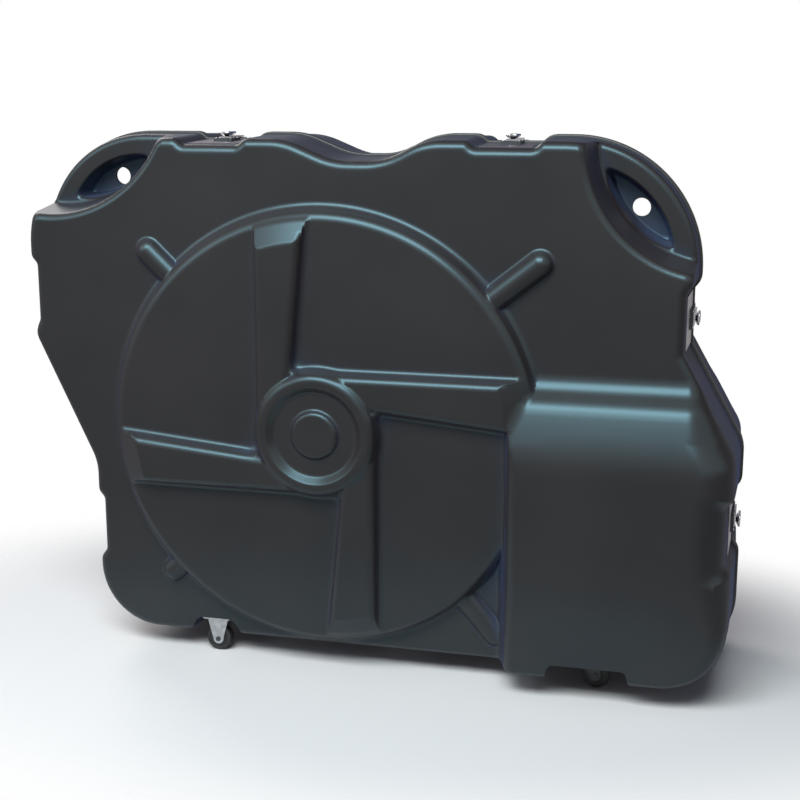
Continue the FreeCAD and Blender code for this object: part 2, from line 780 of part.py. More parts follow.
def cheeks(x, axle_x, top_z, left_half, right_half):
    """Two side plates that narrow from the top to the axle."""
    pair = []
    for y in (-caster_y - cheek_y - cheek_t, -caster_y + cheek_y):
        pts = [(x - left_half, top_z), (x + right_half, top_z)]
        pts += [(axle_x + cheek_r, axle_z), (axle_x - cheek_r, axle_z)]
        plate = flat_prism([Vector(px, y, pz) for px, pz in pts], Vector(0, cheek_t, 0))
        eye = Part.makeCylinder(cheek_r, cheek_t, Vector(axle_x, y, axle_z), Vector(0, 1, 0))
        pair.append(plate.fuse(eye))
    return pair


def axle_bore(axle_x):
    y = -caster_y - cheek_y - 2 * cheek_t
    foot = Vector(axle_x, y, axle_z)
    return Part.makeCylinder(axle_r + run_gap, -2 * (y + caster_y), foot, Vector(0, 1, 0))


def caster_plate(x):
    corner = Vector(x - plate_x, -caster_y - plate_y, plate_low)
    return Part.makeBox(2 * plate_x, 2 * plate_y, caster_plate_t, corner)


def axle(axle_x):
    """Axle with a flat head against each side plate."""
    y = -caster_y - cheek_y - cheek_t
    rod = Part.makeCylinder(axle_r, -2 * (y + caster_y), Vector(axle_x, y, axle_z), Vector(0, 1, 0))
    for at in (y - axle_head_t, -2 * caster_y - y):
        head_foot = Vector(axle_x, at, axle_z)
        rod = rod.fuse(Part.makeCylinder(axle_head_r, axle_head_t, head_foot, Vector(0, 1, 0)))
    return rod.removeSplitter()


def wheel(axle_x):
    """Solid wheel with a sunk ring on both faces."""
    along = Vector(0, 1, 0)
    body = Part.makeCylinder(wheel_r, 2 * wheel_half, Vector(axle_x, -caster_y - wheel_half, axle_z), along)
    for y in (-caster_y - wheel_half, -caster_y + wheel_half - wheel_groove):
        foot = Vector(axle_x, y, axle_z)
        ring = Part.makeCylinder(wheel_rim_r, wheel_groove, foot, along)
        body = body.cut(ring.cut(Part.makeCylinder(wheel_hub_r, wheel_groove, foot, along)))
    return body.cut(axle_bore(axle_x))


def screws(x):
    """Screw heads under the four corners of a caster plate."""
    heads = []
    for sx in (-screw_x, screw_x):
        for sy in (-screw_y, screw_y):
            foot = Vector(x + sx, -caster_y + sy, plate_low)
            heads.append(Part.makeCone(screw_r, screw_top_r, screw_h, foot, Vector(0, 0, -1)))
    return heads


rigid_cheeks = cheeks(caster_left_x, caster_left_x, plate_low, cheek_top, cheek_top)
rigid = fused([caster_plate(caster_left_x)] + rigid_cheeks)
rigid = rigid.cut(axle_bore(caster_left_x))
race = Part.makeCylinder(race_r, race_h, Vector(caster_right_x, -caster_y, plate_low - race_h))
king_bore = Vector(caster_right_x, -caster_y, plate_low - race_h)
swivel_plate = fused([caster_plate(caster_right_x), race])
swivel_plate = swivel_plate.cut(Part.makeCylinder(king_r + run_gap, king_len + race_gap, king_bore))
fork_top = plate_low - race_h - race_gap
swivel_axle_x = caster_right_x + trail
crown_foot = Vector(caster_right_x, -caster_y, fork_top - caster_plate_t)
crown = Part.makeCylinder(race_r, caster_plate_t, crown_foot)
king = Part.makeCylinder(king_r, king_len, Vector(caster_right_x, -caster_y, fork_top))
fork = fused([crown, king] + cheeks(caster_right_x, swivel_axle_x, fork_top, race_r - crown_lip, cheek_top))
fork = fork.cut(axle_bore(swivel_axle_x))
caster_nodes = (
    ("caster_left_fork", rigid),
    ("caster_left_axle", axle(caster_left_x)),
    ("caster_left_wheel", wheel(caster_left_x)),
    ("caster_right_plate", swivel_plate),
    ("caster_right_fork", fork),
    ("caster_right_axle", axle(swivel_axle_x)),
    ("caster_right_wheel", wheel(swivel_axle_x)),
    ("caster_screws", Part.makeCompound(screws(caster_left_x) + screws(caster_right_x))),
)
for name, shape in caster_nodes:
    save("front_" + name, shape)
    save("rear_" + name, mirrored(shape))
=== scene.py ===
import bpy
import numpy as np
from mathutils import Matrix, Vector
from mathutils.geometry import delaunay_2d_cdt


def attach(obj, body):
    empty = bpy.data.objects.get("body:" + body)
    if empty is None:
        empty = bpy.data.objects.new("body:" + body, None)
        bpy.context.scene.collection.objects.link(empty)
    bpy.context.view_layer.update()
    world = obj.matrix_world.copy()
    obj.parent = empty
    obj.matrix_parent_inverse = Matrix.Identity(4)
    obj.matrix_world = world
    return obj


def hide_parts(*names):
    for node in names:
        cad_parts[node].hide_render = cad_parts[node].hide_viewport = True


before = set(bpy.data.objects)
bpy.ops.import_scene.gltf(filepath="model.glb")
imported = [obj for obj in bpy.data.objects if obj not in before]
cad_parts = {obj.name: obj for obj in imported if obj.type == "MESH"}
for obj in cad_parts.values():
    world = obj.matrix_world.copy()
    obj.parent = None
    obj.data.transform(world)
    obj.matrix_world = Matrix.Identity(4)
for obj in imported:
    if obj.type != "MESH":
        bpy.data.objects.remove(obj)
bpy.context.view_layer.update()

# Camera: a long lens a little right of the case and above it, looking slightly down.
# Place and angles come from the case's own corners in the photograph.
CAMERA_AT = Vector((0.589, -2.211, 0.920))
CAMERA_YAW, CAMERA_PITCH = np.radians(14.34), np.radians(12.41)
SENSOR_WIDTH, LENS, SIGHT_END = 36.0, 64.9, 50.0
level = np.cos(CAMERA_PITCH)
looking = Vector((-np.sin(CAMERA_YAW) * level, np.cos(CAMERA_YAW) * level, -np.sin(CAMERA_PITCH)))
camera = bpy.data.objects.new("camera", bpy.data.cameras.new("camera"))
camera.data.sensor_width = SENSOR_WIDTH
camera.data.lens = LENS
camera.data.clip_end = SIGHT_END
camera.location = CAMERA_AT
camera.rotation_mode = "QUATERNION"
camera.rotation_quaternion = looking.to_track_quat("-Z", "Y")
bpy.context.scene.collection.objects.link(camera)
bpy.context.scene.camera = camera
bpy.context.scene.view_settings.view_transform = "Standard"

# Front and rear shells: sheets of black ABS drawn over a mould, 3 mm thick, so that
# every form is a soft step with a round foot and a round top. Heights are in mm in
# front of the parting plane, by a formula of the place (x, z); the rear is its mirror.
MM = 0.001
HALF_LENGTH, CASE_TOP, CASE_BOTTOM = 565.0, 840.0, 32.0
SHOULDER_X, WAIST_X = 491.0, -465.0
HIP_Z, ELBOW_Z, WAIST_Z = 384.0, 523.0, 311.0
HIP_R, ELBOW_R, WAIST_R = 60.0, 30.0, 80.0
LOW_LEFT_R, LOW_RIGHT_R, TOP_RIGHT_R, TOP_LEFT_R = 105.0, 103.0, 194.0, 174.0
SADDLE, SADDLE_R = ((86.0, 0.0), (25.0, 32.0), (-52.0, 32.0), (-130.0, 0.0)), 120.0
RIM_H, FACE, WALL, DRAFT = 8.0, 118.0, 3.0, 3.0
LEAN = DRAFT / (FACE - RIM_H)

# Latch recesses sink into the outline; each corner is an offset along the edge, a
# depth and a radius.
TOP_LATCH_X, RIGHT_LATCH_Z, LEFT_LATCH_Z = (208.0, -250.0), (268.0, 576.0), (590.0, 206.0)
LATCH_FLAT, LATCH_RAMP, LATCH_SINK, BROW_R, SINK_R = 44.0, 11.0, 10.0, 20.0, 10.0
LATCH_FAR = LATCH_FLAT + LATCH_RAMP
RECESS = (
    (-LATCH_FAR, 0.0, BROW_R), (-LATCH_FLAT, LATCH_SINK, SINK_R),
    (LATCH_FLAT, LATCH_SINK, SINK_R), (LATCH_FAR, 0.0, BROW_R),
)
case_corners = [(WAIST_X, CASE_BOTTOM, LOW_LEFT_R), (HALF_LENGTH, CASE_BOTTOM, LOW_RIGHT_R)]
case_corners += [(HALF_LENGTH - d, RIGHT_LATCH_Z[0] + t, r) for t, d, r in RECESS]
case_corners += [(HALF_LENGTH, HIP_Z, HIP_R)]
case_corners += [(SHOULDER_X - d, RIGHT_LATCH_Z[1] + t, r) for t, d, r in RECESS[1:]]
case_corners += [(SHOULDER_X, CASE_TOP, TOP_RIGHT_R)]
case_corners += [(TOP_LATCH_X[0] - t, CASE_TOP - d, r) for t, d, r in RECESS]
case_corners += [(x, CASE_TOP - d, SADDLE_R) for x, d in SADDLE]
case_corners += [(TOP_LATCH_X[1] - t, CASE_TOP - d, r) for t, d, r in RECESS]
case_corners += [(-HALF_LENGTH, CASE_TOP, TOP_LEFT_R)]
case_corners += [(-HALF_LENGTH + d, LEFT_LATCH_Z[0] - t, r) for t, d, r in RECESS[:3]]
case_corners += [(-HALF_LENGTH, ELBOW_Z, ELBOW_R), (WAIST_X, WAIST_Z, WAIST_R)]
case_corners += [(WAIST_X + d, LEFT_LATCH_Z[1] - t, r) for t, d, r in RECESS]


def rounded_outline(corners):
    """Straights and arcs of a closed outline with rounded corners, walked anticlockwise."""
    points = np.array([c[:2] for c in corners])
    runs = []
    for i, (x, z, r) in enumerate(corners):
        u = points[i] - points[i - 1]
        v = points[(i + 1) % len(points)] - points[i]
        u, v = u / np.hypot(*u), v / np.hypot(*v)
        turn = np.arctan2(u[0] * v[1] - u[1] * v[0], u @ v)
        reach = r * np.tan(abs(turn) / 2)
        side = np.sign(turn)
        first = points[i] - u * reach
        centre = first + side * r * np.array((-u[1], u[0]))
        runs.append({"start": first, "end": points[i] + v * reach, "centre": centre, "r": r, "side": side,
                     "from": np.arctan2(*(first - centre)[::-1]), "turn": turn})
    return runs


case_runs = rounded_outline(case_corners)


def edge_distance(x, z):
    """Distance from the case's outline inwards, exact for its straights and arcs."""
    best = np.full(x.shape, 1e9)
    for i, run in enumerate(case_runs):
        a, b = case_runs[i - 1]["end"], run["start"]
        length = np.hypot(*(b - a))
        t = (b - a) / length
        along = (x - a[0]) * t[0] + (z - a[1]) * t[1]
        off = (z - a[1]) * t[0] - (x - a[0]) * t[1]
        best = np.where((along >= 0) & (along <= length) & (abs(off) < abs(best)), off, best)
        dx, dz = x - run["centre"][0], z - run["centre"][1]
        swept = ((np.arctan2(dz, dx) - run["from"]) * run["side"]) % (2 * np.pi)
        off = run["side"] * (run["r"] - np.hypot(dx, dz))
        best = np.where((swept <= abs(run["turn"])) & (abs(off) < abs(best)), off, best)
    return best


def outline_loop(runs, step):
    """Points round an outline, a step apart on arcs, with the inward normal at each."""
    loop = []
    for i, run in enumerate(runs):
        a, b = runs[i - 1]["end"], run["start"]
        length = np.hypot(*(b - a))
        t = (b - a) / length
        count = max(1, int(length / (2.5 * step)))
        loop += [(*(a + (b - a) * k / count), -t[1], t[0]) for k in range(count)]
        count = max(3, int(abs(run["turn"]) * run["r"] / step))
        for k in range(count):
            angle = run["from"] + run["turn"] * k / count
            way = np.array((np.cos(angle), np.sin(angle)))
            loop.append((*(run["centre"] + way * run["r"]), *(-run["side"] * way)))
    return np.array(loop)


def step_up(s, rise, run, r_foot, r_top):
    """Height of a drawn step s mm in from its foot line: round foot, leaning wall, round top."""
    angle = np.arctan2(rise, run)
    foot, top = r_foot * np.tan(angle / 2), run + r_top * np.tan(angle / 2)
    wall = s * rise / run
    low = r_foot - np.sqrt(np.maximum(r_foot**2 - (s + foot) ** 2, 0))
    high = rise - r_top + np.sqrt(np.maximum(r_top**2 - (top - s) ** 2, 0))
    height = np.where(s < r_foot * np.sin(angle) - foot, low, wall)
    height = np.where(s > top - r_top * np.sin(angle), high, height)
    return np.where(s <= -foot, 0.0, np.where(s >= top, rise, height))


def stations(rise, run, r_foot, r_top, parts=4):
    """Places across a drawn step where its mesh needs a line."""
    angle = np.arctan2(rise, run)
    bends = np.linspace(0, angle, parts + 1)
    foot, top = r_foot * np.tan(angle / 2), run + r_top * np.tan(angle / 2)
    return [*(-foot + r_foot * np.sin(bends)), *(top - r_top * np.sin(bends[::-1]))]


def soft_max(a, b, k):
    """The higher of two heights, with a fillet k mm high where they cross above the ground."""
    k = k * np.clip(np.minimum(a, b) / k, 1e-3, 1)
    return np.maximum(a, b) + np.maximum(k - abs(a - b), 0) ** 2 / (4 * k)


# Drawn steps of the wheel relief, the crank bulge, the grips and the caster notches,
# each as rise, run, foot radius and top radius; a blend is the height of a fillet.
HUB = np.array((-70.0, 392.0))
DISC = (26.0, 10.0, 12.0, 18.0)
ARM = (22.0, 4.0, 10.0, 14.0)
ARM_RAMP = (22.0, 36.0, 10.0, 14.0)
BOSS = (28.0, 9.0, 10.0, 13.0)
DISH = (10.0, 11.0, 6.0, 8.0)
BUTTON = (8.0, 6.0, 6.0, 8.0)
RIB = (18.0, 6.0, 7.0, 19.4)
LOW_RIB = (10.0, 5.0, 8.0, 25.0)
DISC_R, HUB_R, DISH_R, BUTTON_R, ARM_END, HUB_TUCK = 346.0, 102.0, 77.0, 40.0, 332.0, 8.0
ARM_OUT, ARM_IN, ARM_SPREAD, ARM_ROOT = 97.0, 46.0, 32.0 / 332.0, 40.0
ARM_BLEND, RAMP_BLEND, BOSS_BLEND, RIB_BLEND, BULGE_BLEND, RELIEF_BLEND = 14.0, 3.0, 5.0, 6.0, 6.0, 8.0
RIBS = ((38.5, 430.0, RIB), (136.4, 391.0, RIB), (224.5, 360.0, RIB), (-48.5, 418.0, LOW_RIB))
RIB_HALF, RIB_ROOT = 20.0, 300.0
BULGE_SIDE = (60.0, 20.0, 14.0, 18.0)
BULGE_X = 214.0
GRIP_H, GRIP_WIDTH, LEAF_WIDTH, LEAF_IN, LEAF_LEDGE, LEAF_ROUND = 44.0, 37.0, 38.4, 46.0, 2.0, 12.0
GRIP_REACH, GRIP_LOW = 17.0, 5.0
GRIP_RUN = GRIP_REACH * (FACE - GRIP_H) / (FACE - GRIP_LOW)
GRIP_WALL = (FACE - GRIP_H, GRIP_RUN, 8.0, 13.0)
LEAF = (39.0, 6.0, 4.0, 5.0)
NOTCHES = ((-259.0, 31.0, 32.0), (357.0, 58.0, 14.0))
NOTCH_TOP, NOTCH_DEPTH, NOTCH_ROUND = 60.0, 52.0, 9.0
NOTCH_SIDE = (1.0, 6.0, 6.0, 6.0)
EDGE_R, LOW_EDGE_R, LOW_EDGE_H = 14.0, 10.0, 60.0
FLANK_R, FLANK_X, FLANK_LOW, FLANK_HIGH = 40.0, (440.0, 50.0), (60.0, 130.0), (490.0, 80.0)
GRIPS = []
for centre_x, corner_r, turn, recess_r in (
    (TOP_LEFT_R - HALF_LENGTH, TOP_LEFT_R, 117.4, 213.0),
    (SHOULDER_X - TOP_RIGHT_R, TOP_RIGHT_R, 41.2, 195.0),
):
    way = np.array((np.cos(np.radians(turn)), np.sin(np.radians(turn))))
    corner = np.array((centre_x, CASE_TOP - corner_r))
    near, leaf_r = corner_r - GRIP_WIDTH - LEAF_WIDTH, corner_r - LEAF_IN
    GRIPS.append({
        "recess": corner + way * (near + recess_r - GRIP_REACH), "recess_r": recess_r, "leaf_r": leaf_r,
        "outer": corner + way * (near + LEAF_WIDTH - leaf_r + LEAF[1]),
        "inner": corner + way * (near + LEAF_LEDGE + leaf_r - LEAF[1]),
        "hole": corner + way * (near + LEAF_WIDTH / 2),
    })

# The bulge's top rolls over from a steep brow to a flat face: its slope in degrees at
# each height, added up from above.
BULGE_TILT = (
    (350.0, 0.0), (380.0, 13.0), (402.0, 23.0), (440.0, 26.0), (449.0, 31.0),
    (456.0, 44.0), (463.0, 53.0), (470.0, 53.0), (480.0, 36.0), (500.0, 0.0),
)
bulge_z = np.arange(0.0, 700.0, 0.5)
bulge_slope = np.tan(np.radians(np.interp(bulge_z, *zip(*BULGE_TILT))))
bulge_rise = np.cumsum(bulge_slope[::-1])[::-1]
bulge_rise *= BULGE_SIDE[0] / bulge_rise[0]


def from_arm(x, z, quarter):
    """Place seen from one arm: across it and along it from the hub."""
    c, s = np.cos(quarter * np.pi / 2), np.sin(quarter * np.pi / 2)
    dx, dz = x - HUB[0], z - HUB[1]
    return c * dx - s * dz, s * dx + c * dz


def rib_distance(x, z, angle, reach):
    """Distance to the middle line of one rib, which points away from the hub."""
    way = np.array((np.cos(np.radians(angle)), np.sin(np.radians(angle))))
    dx, dz = x - HUB[0], z - HUB[1]
    along = np.clip(dx * way[0] + dz * way[1], RIB_ROOT, reach)
    return np.hypot(dx - along * way[0], dz - along * way[1])


def notch_inside(x, z, centre, half, run):
    """How far a place is inside a caster notch with round corners, negative outside."""
    low = NOTCH_ROUND - np.clip(z - CASE_BOTTOM, 0, NOTCH_ROUND)
    half = half + run * (NOTCH_TOP - z) / NOTCH_TOP + NOTCH_ROUND - np.sqrt(NOTCH_ROUND**2 - low**2)
    side, top = (half - abs(x - centre)) / np.hypot(1, run / NOTCH_TOP), NOTCH_TOP - z
    return np.minimum(side, top) - np.maximum(NOTCH_ROUND - abs(side - top), 0) ** 2 / (4 * NOTCH_ROUND)


def relief_height(x, z):
    """Height above the flat face of the wheel relief, its ribs and the crank bulge."""
    rho = np.hypot(x - HUB[0], z - HUB[1])
    inside = HUB_R - HUB_TUCK - rho
    for quarter in range(4):
        across, along = from_arm(x, z, quarter)
        arm = np.minimum(across + ARM_OUT, (-ARM_IN + ARM_SPREAD * along - across) / np.hypot(1, ARM_SPREAD))
        arm = np.minimum(arm, along + ARM_ROOT)
        inside = np.maximum(inside, arm) + np.maximum(ARM_BLEND - abs(inside - arm), 0) ** 2 / (4 * ARM_BLEND)
    cut, ramp = ARM[0] - step_up(inside, *ARM), ARM[0] - step_up(ARM_END - rho, *ARM_RAMP)
    arms = ARM[0] - soft_max(cut, ramp, RAMP_BLEND)
    arms = soft_max(arms, step_up(HUB_R - rho, *BOSS), BOSS_BLEND)
    arms = arms - step_up(DISH_R - rho, *DISH) + step_up(BUTTON_R - rho, *BUTTON)
    relief = step_up(DISC_R - rho, *DISC) + np.where(rho < DISC_R, arms, 0)
    for angle, reach, form in RIBS:
        relief = soft_max(relief, step_up(RIB_HALF - rib_distance(x, z, angle, reach), *form), RIB_BLEND)
    brow = BULGE_SIDE[0] - np.interp(z, bulge_z, bulge_rise)
    side = BULGE_SIDE[0] - step_up(x - BULGE_X, *BULGE_SIDE)
    bulge = BULGE_SIDE[0] - soft_max(brow, side, BULGE_BLEND)
    return soft_max(relief, np.maximum(bulge, 0), RELIEF_BLEND)


def shell_height(x, z):
    """Front surface of the front shell over the whole outline."""
    height = FACE + relief_height(x, z)
    for grip in GRIPS:
        out = np.hypot(x - grip["recess"][0], z - grip["recess"][1]) - grip["recess_r"] + GRIP_RUN
        height = height - FACE + GRIP_H + step_up(out, *GRIP_WALL)
        a, b = (grip["leaf_r"] - np.hypot(x - grip[k][0], z - grip[k][1]) for k in ("outer", "inner"))
        leaf = np.minimum(a, b) - np.maximum(LEAF_ROUND - abs(a - b), 0) ** 2 / (4 * LEAF_ROUND)
        height = height - step_up(leaf, *LEAF)
    for notch in NOTCHES:
        open_side = step_up(notch_inside(x, z, *notch), *NOTCH_SIDE)
        height = height - (height - NOTCH_DEPTH) * open_side
    d = edge_distance(x, z)
    flank = np.clip((x - FLANK_X[0]) / FLANK_X[1], 0, 1) * np.clip((z - FLANK_LOW[0]) / FLANK_LOW[1], 0, 1)
    flank = flank * np.clip((FLANK_HIGH[0] - z) / FLANK_HIGH[1], 0, 1)
    radius = np.where(height < LOW_EDGE_H, LOW_EDGE_R, EDGE_R) + FLANK_R * flank
    angle = np.arctan2(1.0, LEAN)
    corner = (height - RIM_H) * LEAN + radius * np.tan(angle / 2)
    arc = height - radius + np.sqrt(np.maximum(radius**2 - (corner - d) ** 2, 0))
    leaning = RIM_H + np.maximum(d, 0) / LEAN
    return np.where(d >= corner, height, np.where(d > corner - radius * np.sin(angle), arc, leaning))


# Mesh lines of the shells: rings in from the outline, and lines along the foot and the
# top of every drawn step, so that the mesh turns where the sheet turns.
EDGE_RINGS = (0.0, 0.35, 0.7, 1.05, 1.9, 2.6, 3.15, 4.5, 6.4, 8.8, 11.8, 15.3, 18.7, 23.0, 27.5)
OUTLINE_STEP = 7.0
base_loop = outline_loop(case_runs, OUTLINE_STEP)
lines, closed_lines = [], [base_loop[:, :2] + base_loop[:, 2:] * d for d in EDGE_RINGS]


def circle(cx, cz, r, step=8.0):
    """Points of a closed circle about one step apart."""
    turn = np.linspace(0, 2 * np.pi, max(24, int(2 * np.pi * r / step)), endpoint=False)
    return np.stack((cx + r * np.cos(turn), cz + r * np.sin(turn)), 1)


def straight(a, b, step=12.0):
    """Points of a straight line about one step apart."""
    count = max(2, int(np.hypot(b[0] - a[0], b[1] - a[1]) / step))
    return np.linspace(a, b, count + 1)


ARM_LINE, RIB_LINE = (40.0, 338.0), 338.0
for s in stations(*DISC):
    closed_lines.append(circle(*HUB, DISC_R - s))
for s in stations(*ARM):
    for quarter in range(4):
        c, n = np.cos(quarter * np.pi / 2), np.sin(quarter * np.pi / 2)
        for foot, spread in ((-ARM_OUT + s, 0.0), (-ARM_IN - s, ARM_SPREAD)):
            places = [(foot + spread * q, q) for q in ARM_LINE]
            lines.append(straight(*(HUB + np.array((c * p + n * q, -n * p + c * q)) for p, q in places)))
for s in stations(*ARM_RAMP):
    closed_lines.append(circle(*HUB, ARM_END - s))
for r, form in ((HUB_R, BOSS), (DISH_R, DISH), (BUTTON_R, BUTTON)):
    closed_lines += [circle(*HUB, r - s) for s in stations(*form)]
for angle, reach, form in RIBS:
    way = np.array((np.cos(np.radians(angle)), np.sin(np.radians(angle))))
    across = np.array((-way[1], way[0]))
    for s in stations(*form, 5)[:-1]:
        r = RIB_HALF - s
        bend = np.linspace(-np.pi / 2, np.pi / 2, 17)
        tip = [HUB + way * (reach + r * np.cos(t)) + across * r * np.sin(t) for t in bend]
        foot, end = HUB + way * RIB_LINE, HUB + way * reach
        low, high = (straight(foot + across * r * k, end + across * r * k) for k in (-1, 1))
        lines.append(np.array([*low[:-1], *tip, *high[-2::-1]]))

BULGE_FOOT_Z, BULGE_BROW_Z, BULGE_RIGHT_X, FLANK_FOOT_Z, BULGE_SPARE = 36.0, 506.0, 560.0, 60.0, 12.0
BULGE_LINES_Z = (
    338.0, 345.0, 360.0, 378.0, 396.0, 414.0, 430.0, 440.0, 445.0, 449.0, 452.5,
    456.0, 459.5, 463.0, 470.0, 475.0, 480.0, 485.0, 490.0, 495.0, 500.0,
)
FLANK_LINES_X = (486.0, 493.0, 500.0, 507.0, 514.0, 521.0, 528.0, 534.0)
for s in stations(*BULGE_SIDE):
    lines.append(straight((BULGE_X + s, BULGE_FOOT_Z), (BULGE_X + s, BULGE_BROW_Z)))
for z in BULGE_LINES_Z:
    lines.append(straight((BULGE_X - BULGE_SPARE, z), (BULGE_RIGHT_X, z)))
for x in FLANK_LINES_X:
    lines.append(straight((x, FLANK_FOOT_Z), (x, BULGE_BROW_Z)))
LEAF_STEP, LEAF_SPARE = 4.0, 3.0
for grip in GRIPS:
    closed_lines += [circle(*grip["recess"], grip["recess_r"] - GRIP_RUN + s) for s in stations(*GRIP_WALL)]
    for s in stations(*LEAF):
        for one, other in (("outer", "inner"), ("inner", "outer")):
            ring = circle(*grip[one], grip["leaf_r"] - s, LEAF_STEP)
            near_leaf = grip["leaf_r"] - np.hypot(*(ring - grip[other]).T) > s - LEAF_SPARE
            first = np.argmax(near_leaf & ~np.roll(near_leaf, 1))
            ring, near_leaf = np.roll(ring, -first, 0), np.roll(near_leaf, -first)
            lines.append(ring[near_leaf])

# A notch's lines are found by halving, along rays from a place in its mouth.
NOTCH_MOUTH_Z, NOTCH_FAR, HALVINGS = 38.0, 120.0, 40
low_right, low_left = np.arange(-20.0, 20.0, 1.5), np.arange(160.0, 201.0, 1.5)
notch_turn = np.radians(np.concatenate((low_right, np.arange(20.0, 160.0, 4.0), low_left)))
for notch in NOTCHES:
    for s in stations(*NOTCH_SIDE):
        near, far = np.zeros(len(notch_turn)), np.full(len(notch_turn), NOTCH_FAR)
        for _ in range(HALVINGS):
            mid = (near + far) / 2
            x, z = notch[0] + mid * np.cos(notch_turn), NOTCH_MOUTH_Z + mid * np.sin(notch_turn)
            deep = notch_inside(x, z, *notch) > s
            near, far = np.where(deep, mid, near), np.where(deep, far, mid)
        x, z = notch[0] + near * np.cos(notch_turn), NOTCH_MOUTH_Z + near * np.sin(notch_turn)
        lines.append(np.stack((x, z), 1))
STRAP_HOLE_R, HOLE_BORDER, HOLE_STEP, BORDER_STEP = 14.0, 3.0, 3.0, 4.0
strap_holes = [(*grip["hole"], STRAP_HOLE_R) for grip in GRIPS]
for hx, hz, r in strap_holes:
    closed_lines += [circle(hx, hz, r, HOLE_STEP), circle(hx, hz, r + HOLE_BORDER, BORDER_STEP)]
EDGE_CLEAR, MERGE = 0.05, 1e-3


def shell_triangles(loop, inner_lines, inner_loops, holes):
    """Triangles over the case's outline whose edges follow the given lines, less round holes."""
    points = [Vector(p) for p in loop]
    edges = [(i, (i + 1) % len(points)) for i in range(len(points))]
    for line, closed in [(l, False) for l in inner_lines] + [(l, True) for l in inner_loops]:
        inside = edge_distance(line[:, 0], line[:, 1]) > EDGE_CLEAR
        index = np.where(inside, len(points) + np.cumsum(inside) - 1, -1)
        points += [Vector(p) for p in line[inside]]
        pairs = zip(index, np.roll(index, -1)) if closed else zip(index[:-1], index[1:])
        edges += [(int(a), int(b)) for a, b in pairs if a >= 0 and b >= 0]
    made, _, faces, *_ = delaunay_2d_cdt(points, edges, [], 0, MERGE)
    flat = np.array([(p.x, p.y) for p in made])
    faces = np.array(faces)
    middle = flat[faces].mean(1)
    keep = edge_distance(middle[:, 0], middle[:, 1]) > 0
    for hx, hz, r in holes:
        keep &= np.hypot(middle[:, 0] - hx, middle[:, 1] - hz) > r
    faces = faces[keep]
    used, faces = np.unique(faces, return_inverse=True)
    return flat[used], faces.reshape(-1, 3)


flat, shell_faces = shell_triangles(base_loop[:, :2], lines, closed_lines[1:], strap_holes)
SLOPE_STEP, PARTING_GAP = 0.05, 1.0
x, z = flat[:, 0], flat[:, 1]
heights = shell_height(x, z)
lean_x = shell_height(x + SLOPE_STEP, z) - shell_height(x - SLOPE_STEP, z)
lean_z = shell_height(x, z + SLOPE_STEP) - shell_height(x, z - SLOPE_STEP)
normals = -np.stack((lean_x / (2 * SLOPE_STEP), np.ones(len(flat)), lean_z / (2 * SLOPE_STEP)), 1)
normals /= np.linalg.norm(normals, axis=1)[:, None]
outer = np.stack((x, -heights, z), 1)
inner = outer - normals * WALL
inner[:, 1] = np.minimum(inner[:, 1], -PARTING_GAP)


def sheet_faces(faces, count):
    """Outer and inner triangles of a moulded sheet, and the strips that close its edges."""
    sides = np.concatenate([faces[:, [0, 1]], faces[:, [1, 2]], faces[:, [2, 0]]])
    known = {(a, b) for a, b in sides.tolist()}
    rim = [(a, b) for a, b in known if (b, a) not in known]
    front_side = [tuple(f) for f in faces.tolist()]
    back_side = [(c + count, b + count, a + count) for a, b, c in faces.tolist()]
    return front_side + back_side + [(b, a, a + count, b + count) for a, b in rim]


def linear(code):
    """Linear colour of an sRGB hex code."""
    parts = [int(code[i : i + 2], 16) / 255 for i in (1, 3, 5)]
    return (*(c / 12.92 if c <= 0.04045 else ((c + 0.055) / 1.055) ** 2.4 for c in parts), 1.0)


def new_piece(name, verts_mm, faces, material):
    """One smooth mesh object from points in millimetres, with outward faces."""
    mesh = bpy.data.meshes.new(name)
    mesh.from_pydata((np.asarray(verts_mm) * MM).tolist(), [], faces)
    mesh.materials.append(material)
    mesh.shade_smooth()
    obj = bpy.data.objects.new(name, mesh)
    bpy.context.scene.collection.objects.link(obj)
    return obj


def add_node(tree, kind, links=(), **settings):
    """Adds a node, sets its inputs and properties, and links (input, source socket) pairs."""
    made = tree.nodes.new(kind)
    for key, value in settings.items():
        if key in made.inputs.keys():
            made.inputs[key].default_value = value
        else:
            setattr(made, key, value)
    for key, source in links:
        tree.links.new(source, made.inputs[key])
    return made


def new_material(name):
    """Empty node material with its shader, and places on it in the frame's metres."""
    material = bpy.data.materials.new(name)
    material.use_nodes = True
    tree = material.node_tree
    place = add_node(tree, "ShaderNodeTexCoord").outputs["Object"]
    return material, tree, tree.nodes["Principled BSDF"], place


def noise(tree, place, size, detail):
    """Cloudy pattern whose patches are about size metres across."""
    made = add_node(tree, "ShaderNodeTexNoise", [("Vector", place)], Scale=1 / size, Detail=detail)
    return made.outputs["Fac"]


def two_tone(tree, pattern, dark, light, stops=(0.0, 1.0)):
    """Colour that goes from dark to light with a pattern."""
    ramp = add_node(tree, "ShaderNodeValToRGB", [("Fac", pattern)])
    for stop, at, code in zip(ramp.color_ramp.elements, stops, (dark, light)):
        stop.position, stop.color = at, linear(code)
    return ramp.outputs["Color"]


def ranged(tree, value, given=(0.0, 1.0), wanted=(0.0, 1.0), **settings):
    """Carries a value from the given range to the wanted one."""
    limits = dict(zip(("From Min", "From Max", "To Min", "To Max"), (*given, *wanted)))
    return add_node(tree, "ShaderNodeMapRange", [("Value", value)], **limits, **settings).outputs["Result"]


def tinted(tree, share, colour, code):
    """A colour that goes over to another one by a share."""
    made = add_node(tree, "ShaderNodeMix", data_type="RGBA")
    for key, source in ((0, share), (6, colour)):
        tree.links.new(source, made.inputs[key])
    made.inputs[7].default_value = linear(code)
    return made.outputs[2]


